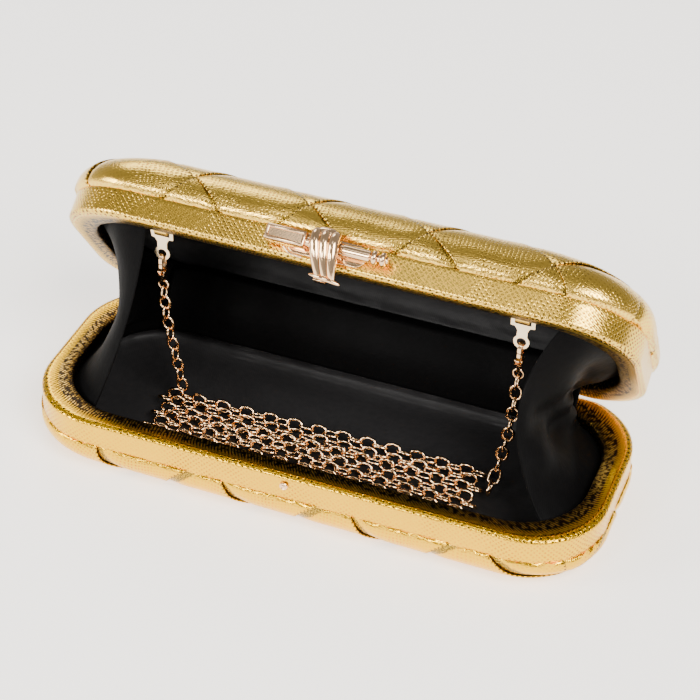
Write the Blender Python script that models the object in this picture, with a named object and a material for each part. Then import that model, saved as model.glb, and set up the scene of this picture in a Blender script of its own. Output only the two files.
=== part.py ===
"""Evening clutch with a hinged lid, a knot clasp and a chain strap laid in its lower half.

Lengths are in metres, +Z is up, +X runs along the bag and -Y faces the front.
The lower half stands on its flat base at the origin. The lid is built shut, in the
frame of its hinge axis, and the empty on that axis turns it open.
"""

import math

import bmesh
import bpy
from mathutils import Matrix, Vector

# Whole bag
LENGTH = 0.200
DEPTH = 0.080
CORNER_RADIUS = 0.0264
CORNER_SHRINK_SHARE = 0.3
LOWER_HEIGHT = 0.0200
LID_HEIGHT = 0.0245
SHOULDER_GAP = 0.0036
LID_OPEN_DEGREES = 53.4
CLEARANCE = 0.0003
OVERRUN = 0.004
CORNER_STEPS = 5
ROUND_SIDES = 16
STEEP_SHARE = 0.2

# Padded rim bands
BAND_HEIGHT = 0.0080
RIM_WIDTH = 0.0086
RIM_SKIN = 0.0018
RIM_CROWN = 0.0015
RIM_DISH = 0.0007
RIM_ROLL = 0.0022
RIM_SHOULDER_SHARES = (0.28, 0.72)
LIP_HEIGHT = 0.0080

# Layers of each half, outside in
COVER_BULGE = 0.0012
COVER_WALL = 0.0038
COVER_FLOOR = 0.0020
CORE_WALL = 0.0024
CORE_FLOOR = 0.0018
LINING_THICKNESS = 0.0007
FLOOR_INSET_X = 0.0225
FLOOR_INSET_Y = 0.0148
BEND_START = 0.0110
BEND_STEPS = 4

# Metal frames inside the rims
FRAME_THICKNESS = 0.0015
FRAME_DROP = 0.0010

# Hinges at the back
HINGE_INSET = 0.0025
HINGE_CORNER_GAP = 0.0081
BARREL_RADIUS = 0.0014
BARREL_LENGTH = 0.0210
MIDDLE_KNUCKLE_SHARE = 0.46
PIN_RADIUS = 0.0006
PIN_OVERHANG = 0.0006
PIN_SIDES = 12
FLANGE_THICKNESS = 0.0008
FLANGE_WIDTH = 0.0018
WEB_WIDTH = 0.0011
RELIEF_APEX = 0.0010
RELIEF_DEGREES = 31.0

# Chain
WIRE_DIAMETER = 0.00105
LINK_LENGTH = 0.0064
LINK_WIDTH = 0.0049
LINK_OVERLAP = 0.00016
LINK_TILT_DEGREES = 45.0
LINK_CORNER_SHARES = (
    (1.0, 0.5), (0.0, 1.0), (-1.0, 0.5), (-1.0, -0.5), (0.0, -1.0), (1.0, -0.5)
)
ROW_COUNT = 7
ROW_CENTRE_X = -0.0040
ROW_SHIFT = 0.0012
ROW_END_GAP = 0.0043
FRONT_ROW_INSET = 0.0172
RUN_STEPS = 240
RUN_LEFT_REACH_SHARE = 1.0
RUN_RIGHT_DRAW_SHARES = (0.55, 0.8)
RUN_RIGHT_END_SHARES = (0.1, 1.6)

# Strap tabs and their anchor straps
TAB_GUSSET_GAP = 0.0145
TAB_WIDTH = 0.0082
TAB_THICKNESS = 0.0009
TAB_SHOULDER = 0.0042
TAB_WAIST_WIDTH = 0.0036
TAB_LENGTH = 0.0095
TAB_EYE_RADIUS = 0.0028
TAB_HOLE_RADIUS = 0.0015
TAB_BAR = 0.0012
TAB_SLOT_WIDTH = 0.0054
TAB_SLOT_HEIGHT = 0.0020
TAB_NECK_SHARES = (0.35, 1.1)
TAB_EYE_DEGREES = (50.0, -90.0)
TAB_EYE_STEPS = 6
ANCHOR_THICKNESS = 0.0007
ANCHOR_WIDTH = 0.0046
ANCHOR_LEG = 0.0062
ANCHOR_RISE = 0.0012
ANCHOR_STEPS = 8

# Lobster clasps
HOOK_BORE = 0.00115
HOOK_WIRE = 0.0010
HOOK_THICKNESS = 0.0012
HOOK_ARM = 0.0012
CLASP_LENGTH = 0.0090
CLASP_BODY_THICKNESS = 0.0026
CLASP_BODY_WIDTH = 0.0042
CLASP_BODY_TOP = 0.0040
CLASP_TAPER_SHARE = 0.72
CLASP_WAIST_SHARE = 0.74
CLASP_EYE_DEGREES = (20.0, -200.0)
CLASP_EYE_STEPS = 4
HOOK_STEPS = 8
HOOK_BORE_STEPS = 6
BOSS_TAPER_SHARE = 0.7
BOSS_INSET = 0.0002
LEVER_PIVOT_Y = 0.0011
LEVER_PIVOT_DROP = 0.0050
LEVER_WIDTH = 0.0009
LEVER_TOP = 0.0015
LEVER_HUB = 0.00075
LEVER_THUMB = 0.0012
LEVER_HUB_SHARES = (2.6, 2.2, 1.5, 1.4)
LEVER_HUB_DEGREES = (170.0, 370.0)
LEVER_HUB_STEPS = 6
RIVET_RADIUS = 0.00035
RIVET_SIDES = 8
EYE_RADIUS = 0.0013
EYE_HOLE = 0.0007
EYE_SIDES = 10
JUMP_RING_RADIUS = 0.00175
JUMP_RING_WIRE = 0.0007
JUMP_RING_STEPS = 12
JUMP_RING_SIDES = 6

# Knot clasp on the lid
KNOT_X = -0.0025
BAR_RISE = 0.0041
BAR_SIZE = 0.0052
BAR_LEFT = 0.0200
BAR_RIGHT = 0.0213
BAR_NECK = 0.0062
BAR_BEVEL = 0.0005
BAR_GROOVE_WIDTH = 0.0022
BAR_GROOVE_DEPTH = 0.0007
CORE_ROD_RADIUS = 0.0016
ROD_RADIUS = 0.0020
ROD_TIP_RADIUS = 0.0011
RING_WIDTH = 0.0018
RING_RADIUS = 0.0024
RING_PITCH = 0.0029
RING_EDGE_SHARE = 0.25
PLATE_THICKNESS = 0.0008
PLATE_HALF_LENGTH = 0.0135
PLATE_HALF_HEIGHT = 0.0038
PLATE_END_STEPS = 6
HUB_RADIUS = 0.0025
HUB_HALF_LENGTH = 0.0050
STRAND_PITCH = 0.0033
STRAND_RADIUS = 0.0018
STRAND_ORBIT = 0.0041
STRAND_DROP = 0.0103
STRAND_LEAN = 0.0022
STRAND_STEPS = 11
STRAND_SIDES = 8
STRAND_START_DEGREES = 96.0
STRAND_LEAVE_DEGREES = 205.0
STRAND_WRAP_SHARE = 0.55
STRAND_RETURN_SHARE = 0.93
STRAND_RETURN_POWER = 1.6
STRAND_GATHER_SHARE = 0.35
STRAND_END_SHARE = 0.66
STRAND_SWELL_SPAN_SHARES = (0.12, 0.76)
FOOT_LENGTH = 0.0108
FOOT_RADIUS = 0.0009
FOOT_TILT = 0.0012
FOOT_SWELL_SHARES = (0.55, 0.95, 1.0, 0.95, 0.55)
LIP_REACH = 0.0024
LIP_THICKNESS = 0.0009
LIP_WIDTH = 0.0040
SPRING_WIRE = 0.00045
SPRING_REACH = 0.0062
SPRING_SAG = 0.0030
SPRING_BEND_SHARES = (0.4, 0.8)
SPRING_STEPS = 7
SPRING_SIDES = 6

# Catch stud on the lower rim
STUD_X = -0.0018
STUD_DROP = 0.0022
STUD_RADIUS = 0.0009
STUD_HEIGHT = 0.0010
STUD_DOME_SHARE = 0.6
STUD_SIDES = 12

# Soft lining between the halves
GUSSET_THICKNESS = 0.0007
GUSSET_FRONT_GAP = 0.0027
GUSSET_BACK_GAP = 0.0046
GUSSET_INSET = 0.0230
GUSSET_BACK_INSET = 0.0288
LEFT_GUSSET_LEAN = 0.0090
GUSSET_STEPS = 10
GUSSET_LIP_DEPTH = 0.0030
GUSSET_RISE_LOWER = 0.0022
GUSSET_RISE_LID = 0.0046
GUSSET_RISE_POWER = 5
GUSSET_BEND_SHARE = 0.55
GUSSET_LEAN_POWER = 1.5
GUSSET_SLACK_POWER = 0.7
LEFT_TUCK = 0.0015
RIGHT_TUCK = 0.0130
FOLD_DEPTH = 0.0022
FOLD_COUNT = 2.5
BACK_CLOTH_GAP = 0.0017
BACK_CLOTH_INSET = 0.0022
BACK_CLOTH_DEPTH = 0.0065
BACK_CLOTH_BELLY = 0.0022
BACK_CLOTH_STEPS = 8
BACK_CLOTH_COLUMN_SHARES = (-1.0, -0.5, 0.0, 0.5, 1.0)

HALF_LENGTH = LENGTH / 2
HALF_DEPTH = DEPTH / 2
HINGE_Y = HALF_DEPTH - HINGE_INSET
HINGE_Z = LOWER_HEIGHT + SHOULDER_GAP / 2
LID_ANGLE = -math.radians(LID_OPEN_DEGREES)
HINGE_SPACING = 2 * (HALF_LENGTH - CORNER_RADIUS - HINGE_CORNER_GAP) - BARREL_LENGTH
GUSSET_X = HALF_LENGTH - GUSSET_INSET
GUSSET_BACK_X = HALF_LENGTH - GUSSET_BACK_INSET
GUSSET_LID_LEFT_X = GUSSET_X - LEFT_GUSSET_LEAN
GUSSET_FRONT_Y = RIM_WIDTH + GUSSET_FRONT_GAP - HALF_DEPTH
GUSSET_BACK_Y = HALF_DEPTH - RIM_WIDTH - GUSSET_BACK_GAP
BACK_CLOTH_HALF_LENGTH = GUSSET_BACK_X - BACK_CLOTH_GAP
TAB_X = GUSSET_X - TAB_GUSSET_GAP
LINK_PITCH = LINK_LENGTH - 2 * WIRE_DIAMETER + LINK_OVERLAP
LINK_TILT = math.radians(LINK_TILT_DEGREES)
ROW_PITCH = (LINK_WIDTH - WIRE_DIAMETER) * math.cos(LINK_TILT) + WIRE_DIAMETER + CLEARANCE
LINING_FLOOR = COVER_FLOOR + CORE_FLOOR + LINING_THICKNESS + 2 * CLEARANCE
ROW_LINKS = int(2 * (TAB_X - ROW_END_GAP) / LINK_PITCH)
BACK_ROW_Y = FRONT_ROW_INSET - HALF_DEPTH + (ROW_COUNT - 1) * ROW_PITCH
TAB_PIVOT_Y = RIM_WIDTH - HALF_DEPTH + CLEARANCE + 2 * ANCHOR_THICKNESS + TAB_BAR / 2
BAR_Y = -HALF_DEPTH - PLATE_THICKNESS - 2 * CLEARANCE - BAR_SIZE / 2


class Place:
    """Turns points given as x, y and height beyond a half's shoulder into its own frame."""

    def __init__(self, parent, sign):
        self.parent = parent
        self.sign = sign

    def height(self, beyond):
        """Z in the half's frame of a height beyond the shoulder, away from the seam."""
        if self.parent is None:
            return LOWER_HEIGHT - beyond
        return SHOULDER_GAP / 2 + beyond

    def shift(self):
        """Y of the half's own frame origin."""
        return 0.0 if self.parent is None else HINGE_Y


def clear_scene():
    """Removes every object of the file that is open."""
    for item in list(bpy.data.objects):
        bpy.data.objects.remove(item, do_unlink=True)


def material(name, colour, roughness, metallic):
    """A plain Principled material."""
    found = bpy.data.materials.new(name)
    found.use_nodes = True
    shader = found.node_tree.nodes["Principled BSDF"]
    shader.inputs["Base Color"].default_value = (*colour, 1.0)
    shader.inputs["Roughness"].default_value = roughness
    shader.inputs["Metallic"].default_value = metallic
    return found


def add_object(name, mesh, look=None, parent=None, location=(0.0, 0.0, 0.0), smooth=None):
    """Links a mesh as an object, with its material and parent."""
    item = bpy.data.objects.new(name, mesh)
    bpy.context.scene.collection.objects.link(item)
    item.parent = parent
    item.location = location
    if look is not None:
        mesh.materials.append(look)
    if smooth is not None:
        mesh.shade_smooth()
        mesh.set_sharp_from_angle(angle=math.radians(smooth))
    return item


def add_axis(name, location, parent=None, rotation=(0.0, 0.0, 0.0)):
    """An empty on a joint's axis."""
    axis = bpy.data.objects.new(name, None)
    bpy.context.scene.collection.objects.link(axis)
    axis.parent = parent
    axis.location = location
    axis.rotation_euler = rotation
    return axis


def finish_mesh(name, bm):
    """Turns a bmesh into a mesh with its faces pointing out."""
    bmesh.ops.recalc_face_normals(bm, faces=bm.faces)
    mesh = bpy.data.meshes.new(name)
    bm.to_mesh(mesh)
    bm.free()
    return mesh


def boolean(target, tool, operation):
    """Joins a tool object to a target, or cuts it out, and hides the tool."""
    change = target.modifiers.new(tool.name, "BOOLEAN")
    change.operation = operation
    change.solver = "EXACT"
    change.object = tool
    tool.hide_render = True
    tool.display_type = "WIRE"


def add_ring(bm, points, closed=True):
    """Adds vertices through points, joined by edges."""
    verts = [bm.verts.new(p) for p in points]
    for first, second in ring_pairs(verts, closed):
        bm.edges.new((first, second))
    return verts


def ring_pairs(verts, closed):
    """Neighbours along a ring or an open row of vertices."""
    return list(zip(verts, verts[1:] + verts[:1] if closed else verts[1:]))


def extrude_ring(bm, verts, points, closed=True):
    """Extrudes the edges of a ring and moves the new vertices to points."""
    edges = [bm.edges.get(pair) for pair in ring_pairs(verts, closed)]
    made = bmesh.ops.extrude_edge_only(bm, edges=edges)["geom"]
    new = {g for g in made if isinstance(g, bmesh.types.BMVert)}
    moved = []
    for vert, point in zip(verts, points):
        twin = next(e.other_vert(vert) for e in vert.link_edges if e.other_vert(vert) in new)
        twin.co = point
        moved.append(twin)
    return moved


def cap_ring(bm, verts):
    """Closes a ring of vertices with one face."""
    bmesh.ops.edgeloop_fill(bm, edges=[bm.edges.get(pair) for pair in ring_pairs(verts, True)])


def loft(name, rings, cyclic):
    """A closed body through rings of equally many points, capped or bent round on itself."""
    bm = bmesh.new()
    first = add_ring(bm, rings[0])
    last = first
    for ring in rings[1:]:
        last = extrude_ring(bm, last, ring)
    if cyclic:
        last = extrude_ring(bm, last, rings[0])
        bmesh.ops.weld_verts(bm, targetmap=dict(zip(last, first)))
    else:
        cap_ring(bm, first)
        cap_ring(bm, last)
    return finish_mesh(name, bm)


def prism(name, outline, direction):
    """A flat outline pushed along a direction."""
    bm = bmesh.new()
    face = bm.faces.new([bm.verts.new(p) for p in outline])
    pushed = bmesh.ops.extrude_face_region(bm, geom=[face])
    verts = [g for g in pushed["geom"] if isinstance(g, bmesh.types.BMVert)]
    bmesh.ops.translate(bm, verts=verts, vec=direction)
    return finish_mesh(name, bm)


def box(name, low, high):
    """A box between two corners."""
    bm = bmesh.new()
    size = Vector(high) - Vector(low)
    middle = (Vector(high) + Vector(low)) / 2
    bmesh.ops.create_cube(bm, size=1.0, matrix=Matrix.Translation(middle) @ Matrix.Diagonal((*size, 1.0)))
    return finish_mesh(name, bm)


def cylinder(name, radius, half_length, centre, axis="X", sides=ROUND_SIDES):
    """A round bar along X or Y."""
    bm = bmesh.new()
    turn = Matrix.Rotation(math.pi / 2, 4, "Y" if axis == "X" else "X")
    place = Matrix.Translation(Vector(centre)) @ turn
    bmesh.ops.create_cone(
        bm, cap_ends=True, segments=sides, radius1=radius, radius2=radius, depth=2 * half_length, matrix=place
    )
    return finish_mesh(name, bm)


def turned(name, profile, centre, sides=ROUND_SIDES):
    """A body turned about X from a closed outline of (x, radius) pairs off the axis."""
    rings = []
    for along, radius in profile:
        ring = []
        for k in range(sides):
            turn = 2 * math.pi * k / sides
            ring.append(Vector(centre) + Vector((along, radius * math.cos(turn), radius * math.sin(turn))))
        rings.append(ring)
    return loft(name, rings, True)


def tube(name, points, radii, sides, spin=0.0):
    """A capped tube through points, with its own radius at each."""
    rings = []
    for k, point in enumerate(points):
        before = points[max(k - 1, 0)]
        after = points[min(k + 1, len(points) - 1)]
        along = (after - before).normalized()
        side = along.cross(Vector((0.0, 1.0, 0.0)))
        if side.length < STEEP_SHARE:
            side = along.cross(Vector((1.0, 0.0, 0.0)))
        side.normalize()
        other = along.cross(side)
        ring = []
        for n in range(sides):
            turn = spin + 2 * math.pi * n / sides
            ring.append(point + radii[k] * (math.cos(turn) * side + math.sin(turn) * other))
        rings.append(ring)
    return loft(name, rings, False)


def outline(inset_x, inset_y, z, shift_y=0.0):
    """The bag's rounded outline, drawn in by the insets."""
    half_x = HALF_LENGTH - inset_x
    half_y = HALF_DEPTH - inset_y
    radius = CORNER_RADIUS - CORNER_SHRINK_SHARE * inset_y
    points = []
    for quarter, (sx, sy) in enumerate(((1, 1), (-1, 1), (-1, -1), (1, -1))):
        centre = Vector((sx * (half_x - radius), sy * (half_y - radius) - shift_y, z))
        for step in range(CORNER_STEPS + 1):
            turn = math.pi / 2 * (quarter + step / CORNER_STEPS)
            points.append(centre + radius * Vector((math.cos(turn), math.sin(turn), 0.0)))
    return points


def bend_levels(wall_inset, floor_rise, height, start):
    """Insets and heights of one surface of a half, from its rim edge over the bend to its floor."""
    levels = [(wall_inset, wall_inset, start)]
    drop = height - floor_rise - BEND_START
    for step in range(BEND_STEPS + 1):
        turn = math.pi / 2 * step / BEND_STEPS
        in_x = wall_inset + (FLOOR_INSET_X - wall_inset) * (1 - math.cos(turn))
        in_y = wall_inset + (FLOOR_INSET_Y - wall_inset) * (1 - math.cos(turn))
        levels.append((in_x, in_y, BEND_START + drop * math.sin(turn)))
    return levels


def shell(name, outer, inner, place):
    """A tray-shaped layer between two surfaces of levels."""
    rings = []
    for in_x, in_y, beyond in list(reversed(outer)) + inner:
        rings.append(outline(in_x, in_y, place.height(beyond), place.shift()))
    return loft(name, rings, False)


def make_half(prefix, place, height, looks):
    """The cover, core, lining, rim band and metal frame of one half."""
    seam = BAND_HEIGHT + CLEARANCE
    cover_out = [(0.0, 0.0, seam)] + bend_levels(-COVER_BULGE, 0.0, height, seam + COVER_BULGE)
    cover_in = bend_levels(COVER_WALL, COVER_FLOOR, height, seam)
    cover = shell("cover", cover_out, cover_in, place)
    add_object(f"{prefix}_woven_cover", cover, looks["leather"], place.parent, smooth=40)

    core_out_wall = COVER_WALL + CLEARANCE
    core_floor = COVER_FLOOR + CLEARANCE
    core_top = RIM_SKIN - RIM_CROWN + RIM_DISH
    core_out = bend_levels(core_out_wall, core_floor, height, core_top)
    core_in = bend_levels(core_out_wall + CORE_WALL, core_floor + CORE_FLOOR, height, core_top)
    core = shell("core", core_out, core_in, place)
    add_object(f"{prefix}_shell_core", core, looks["board"], place.parent, smooth=40)

    lining_wall = core_out_wall + CORE_WALL + CLEARANCE
    lining_floor = core_floor + CORE_FLOOR + CLEARANCE
    lining_top = LIP_HEIGHT + CLEARANCE
    lining_out = bend_levels(lining_wall, lining_floor, height, lining_top)
    inner_wall = lining_wall + LINING_THICKNESS
    lining_in = bend_levels(inner_wall, lining_floor + LINING_THICKNESS, height, lining_top)
    lining = shell("lining", lining_out, lining_in, place)
    add_object(f"{prefix}_lining", lining, looks["satin"], place.parent, smooth=40)

    band = add_object(f"{prefix}_rim_band", rim_band_mesh(place), looks["leather"], place.parent, smooth=35)
    cut_hinge_relief(band, prefix, place)
    add_object(f"{prefix}_frame", frame_mesh(place), looks["steel"], place.parent, smooth=35)


def rim_band_mesh(place):
    """The padded leather band, folded over the rim from the outside face to the inner lip."""
    top = RIM_SKIN - RIM_CROWN
    section = [
        (0.0, BAND_HEIGHT),
        (0.0, 0.0),
        (RIM_ROLL * RIM_SHOULDER_SHARES[0], -RIM_CROWN * RIM_SHOULDER_SHARES[1]),
        (RIM_ROLL, -RIM_CROWN),
        (RIM_WIDTH - RIM_DISH, RIM_DISH - RIM_CROWN),
        (RIM_WIDTH, RIM_DISH),
        (RIM_WIDTH, LIP_HEIGHT),
        (RIM_WIDTH - RIM_SKIN, LIP_HEIGHT),
        (RIM_WIDTH - RIM_SKIN, top),
        (RIM_SKIN, top),
        (RIM_SKIN, BAND_HEIGHT),
    ]
    rings = [outline(inset, inset, place.height(beyond), place.shift()) for inset, beyond in section]
    return loft("rim_band", rings, True)


def cut_hinge_relief(band, prefix, place):
    """Chamfers the back of a rim so that the lid can turn, and notches it round the two hinges."""
    axis_y = HINGE_Y - place.shift()
    axis_z = HINGE_Z if place.parent is None else 0.0
    reach = HINGE_INSET + OVERRUN
    rise = (RELIEF_APEX + reach) * math.tan(math.radians(RELIEF_DEGREES)) * place.sign
    wedge = [
        Vector((-HALF_LENGTH, axis_y - RELIEF_APEX, axis_z)),
        Vector((-HALF_LENGTH, axis_y + reach, axis_z)),
        Vector((-HALF_LENGTH, axis_y + reach, axis_z + rise)),
    ]
    relief = prism("relief", wedge, (LENGTH, 0.0, 0.0))
    tool = add_object(f"{prefix}_relief_cutter", relief, parent=place.parent)
    boolean(band, tool, "DIFFERENCE")
    half_notch = BARREL_LENGTH / 2 + PIN_OVERHANG + CLEARANCE
    depth = BARREL_RADIUS + FLANGE_THICKNESS + 2 * CLEARANCE
    front = BARREL_RADIUS + 3 * CLEARANCE
    for side in (-1, 1):
        centre = side * HINGE_SPACING / 2
        ends = sorted((axis_z, axis_z + depth * place.sign))
        ends[0 if place.sign > 0 else 1] -= place.sign * OVERRUN
        low = (centre - half_notch, axis_y - front, ends[0])
        high = (centre + half_notch, axis_y + reach, ends[1])
        notch = add_object(f"{prefix}_notch_cutter_{side}", box("notch", low, high), parent=place.parent)
        boolean(band, notch, "DIFFERENCE")


def frame_mesh(place):
    """The metal strip bent round inside the rim band."""
    outer = RIM_SKIN + CLEARANCE
    inner = outer + FRAME_THICKNESS
    section = [(outer, BAND_HEIGHT), (outer, FRAME_DROP), (inner, FRAME_DROP), (inner, BAND_HEIGHT)]
    rings = [outline(inset, inset, place.height(beyond), place.shift()) for inset, beyond in section]
    return loft("frame", rings, True)


def make_hinge(side_name, side, lid_axis, steel):
    """One barrel hinge: outer knuckles on the lower frame, the middle one on the lid's, and a pin."""
    centre_x = side * HINGE_SPACING / 2
    middle_half = BARREL_LENGTH * MIDDLE_KNUCKLE_SHARE / 2
    outer_half = (BARREL_LENGTH / 2 - middle_half - CLEARANCE) / 2
    outer_centre = BARREL_LENGTH / 2 - outer_half
    bore = PIN_RADIUS + CLEARANCE
    lower_place = Vector((centre_x, HINGE_Y, HINGE_Z))
    upper_place = Vector((centre_x, 0.0, 0.0))
    lower_spans = [(-outer_centre, outer_half), (outer_centre, outer_half)]
    upper_spans = [(0.0, middle_half)]
    make_leaf(f"hinge_{side_name}_lower_leaf", lower_place, -1, lower_spans, bore, None, steel)
    make_leaf(f"hinge_{side_name}_upper_leaf", upper_place, 1, upper_spans, bore, lid_axis, steel)
    pin = cylinder("pin", PIN_RADIUS, BARREL_LENGTH / 2 + PIN_OVERHANG, (0.0, 0.0, 0.0), sides=PIN_SIDES)
    add_object(f"hinge_{side_name}_pin", pin, steel, None, lower_place, smooth=40)


def make_leaf(name, location, sign, spans, bore, parent, look):
    """A flange that sits on the frame, with its knuckles on short webs."""
    near = BARREL_RADIUS + CLEARANCE
    far = near + FLANGE_THICKNESS
    low_z, high_z = sorted((sign * near, sign * far))
    seat = HINGE_INSET - RIM_SKIN - CLEARANCE
    half = BARREL_LENGTH / 2
    flange = box("flange", (-half, seat - FLANGE_WIDTH, low_z), (half, seat, high_z))
    leaf = add_object(name, flange, look, parent, location, smooth=40)
    for number, (centre, reach) in enumerate(spans):
        web_low, web_high = sorted((0.0, sign * (near + FLANGE_THICKNESS / 2)))
        web = box("web", (centre - reach, -WEB_WIDTH / 2, web_low), (centre + reach, WEB_WIDTH / 2, web_high))
        tool = add_object(f"{name}_web_{number}", web, None, parent, location)
        boolean(leaf, tool, "UNION")
        knuckle = cylinder("knuckle", BARREL_RADIUS, reach, (centre, 0.0, 0.0))
        tool = add_object(f"{name}_knuckle_{number}", knuckle, None, parent, location)
        boolean(leaf, tool, "UNION")
    hole = cylinder("bore", bore, half + OVERRUN, (0.0, 0.0, 0.0), sides=PIN_SIDES)
    tool = add_object(f"{name}_bore", hole, None, parent, location)
    boolean(leaf, tool, "DIFFERENCE")


def link_points(centre, along, across):
    """Corners of a link's centre line: an oval with straight ends and sides."""
    half_long = (LINK_LENGTH - WIRE_DIAMETER) / 2
    half_wide = (LINK_WIDTH - WIRE_DIAMETER) / 2
    return [centre + along * (half_long * a) + across * (half_wide * b) for a, b in LINK_CORNER_SHARES]


def add_link(bm, centre, along, across):
    """A closed three-sided wire round a link, with an edge of it facing the link's middle."""
    normal = along.cross(across)
    rings = []
    for point in link_points(centre, along, across):
        inward = (centre - point).normalized()
        ring = []
        for corner in range(3):
            turn = 2 * math.pi * corner / 3
            ring.append(point + WIRE_DIAMETER / 2 * (math.cos(turn) * inward + math.sin(turn) * normal))
        rings.append(ring)
    first = add_ring(bm, rings[0])
    last = first
    for ring in rings[1:] + rings[:1]:
        last = extrude_ring(bm, last, ring)
    bmesh.ops.weld_verts(bm, targetmap=dict(zip(last, first)))


def make_chain(name, stations, look, parent=None):
    """Links joined end to end at stations of (centre, direction, first side)."""
    meshes = []
    for odd in (0, 1):
        bm = bmesh.new()
        for number, (centre, along, side) in enumerate(stations):
            if number % 2 != odd:
                continue
            other = along.cross(side).normalized()
            across = side if odd == 0 else other
            add_link(bm, centre, along, across)
        meshes.append(finish_mesh(f"{name}_{odd}", bm))
    chain = add_object(name, meshes[0], look, parent, smooth=60)
    tool = add_object(f"{name}_other_links", meshes[1], None, parent)
    boolean(chain, tool, "UNION")
    return chain


def make_chain_rows(look):
    """The strap's chain laid to and fro on the floor of the lower half."""
    half_fall = (LINK_WIDTH - WIRE_DIAMETER) / 2 * math.sin(LINK_TILT) + WIRE_DIAMETER / 2
    z = LINING_FLOOR + CLEARANCE + half_fall
    side = Vector((0.0, math.cos(LINK_TILT), math.sin(LINK_TILT)))
    for row in range(ROW_COUNT):
        y = BACK_ROW_Y - row * ROW_PITCH
        start = ROW_CENTRE_X - (ROW_LINKS - 1) * LINK_PITCH / 2 + ROW_SHIFT * (row % 3 - 1)
        stations = []
        for number in range(ROW_LINKS):
            centre = Vector((start + number * LINK_PITCH, y, z))
            stations.append((centre, Vector((1.0, 0.0, 0.0)), side))
        make_chain(f"chain_row_{row + 1}", stations, look)


def lid_to_world(point):
    """A point of the hinge axis's frame in the bag's frame, with the lid open."""
    turn = Matrix.Rotation(LID_ANGLE, 3, "X")
    return Vector((0.0, HINGE_Y, HINGE_Z)) + turn @ Vector(point)


def tab_pivot(side):
    """Where a tab's top bar lies in the open lid."""
    return lid_to_world((side * TAB_X, TAB_PIVOT_Y - HINGE_Y, SHOULDER_GAP / 2 + ANCHOR_RISE))


def make_anchor(side_name, side, lid_axis, look):
    """A short strap folded round the tab's top bar and lying on the lid's inner lip."""
    centre_y = TAB_PIVOT_Y - HINGE_Y
    centre_z = SHOULDER_GAP / 2 + ANCHOR_RISE
    inner = TAB_BAR / 2 + CLEARANCE + ANCHOR_THICKNESS / 2
    outer = inner + ANCHOR_THICKNESS
    outside = []
    inside = []
    for step in range(ANCHOR_STEPS + 1):
        turn = math.pi + math.pi * step / ANCHOR_STEPS
        outside.append((centre_y + outer * math.cos(turn), centre_z + outer * math.sin(turn)))
        inside.append((centre_y + inner * math.cos(turn), centre_z + inner * math.sin(turn)))
    end_z = centre_z + ANCHOR_LEG
    section = [(centre_y - outer, end_z)] + outside + [(centre_y + outer, end_z), (centre_y + inner, end_z)]
    section += list(reversed(inside)) + [(centre_y - inner, end_z)]
    x = side * TAB_X - ANCHOR_WIDTH / 2
    body = prism("anchor", [Vector((x, y, z)) for y, z in section], (ANCHOR_WIDTH, 0.0, 0.0))
    add_object(f"strap_anchor_{side_name}", body, look, lid_axis, smooth=40)


def sweep(degrees, steps):
    """Angles in radians, evenly spread from the first to the last of a pair in degrees."""
    first, last = degrees
    return [math.radians(first + (last - first) * step / steps) for step in range(steps + 1)]


def tab_outline():
    """Half outline of a tab below its top bar, from the top edge to the eye, as (x, z)."""
    half = TAB_WIDTH / 2
    waist = TAB_WAIST_WIDTH / 2
    top = TAB_BAR / 2
    eye_z = -TAB_LENGTH
    points = [(half, top), (half, top - TAB_SHOULDER)]
    waist_z = (top - TAB_SHOULDER + eye_z + TAB_EYE_RADIUS) / 2
    neck_in, neck_up = TAB_NECK_SHARES
    points.append((waist + (half - waist) * neck_in, waist_z + TAB_BAR * neck_up))
    points.append((waist, waist_z))
    for turn in sweep(TAB_EYE_DEGREES, TAB_EYE_STEPS):
        points.append((TAB_EYE_RADIUS * math.cos(turn), eye_z + TAB_EYE_RADIUS * math.sin(turn)))
    return points


def make_tab(side_name, side, look):
    """The flat tab: its slot takes the anchor strap and its eye takes the clasp's hook."""
    axis = add_axis(f"tab_{side_name}_axis", tab_pivot(side))
    right = tab_outline()
    left = [(-x, z) for x, z in reversed(right[:-1])]
    section = [Vector((x, -TAB_THICKNESS / 2, z)) for x, z in right + left]
    plate = prism("tab", section, (0.0, TAB_THICKNESS, 0.0))
    tab = add_object(f"strap_tab_{side_name}", plate, look, axis, smooth=40)
    slot_top = -TAB_BAR / 2
    slot = box("slot", (-TAB_SLOT_WIDTH / 2, -OVERRUN, slot_top - TAB_SLOT_HEIGHT),
               (TAB_SLOT_WIDTH / 2, OVERRUN, slot_top))
    boolean(tab, add_object(f"tab_{side_name}_slot", slot, None, axis), "DIFFERENCE")
    hole = cylinder("eye", TAB_HOLE_RADIUS, OVERRUN, (0.0, 0.0, -TAB_LENGTH), "Y")
    boolean(tab, add_object(f"tab_{side_name}_eye", hole, None, axis), "DIFFERENCE")
    return axis


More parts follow.
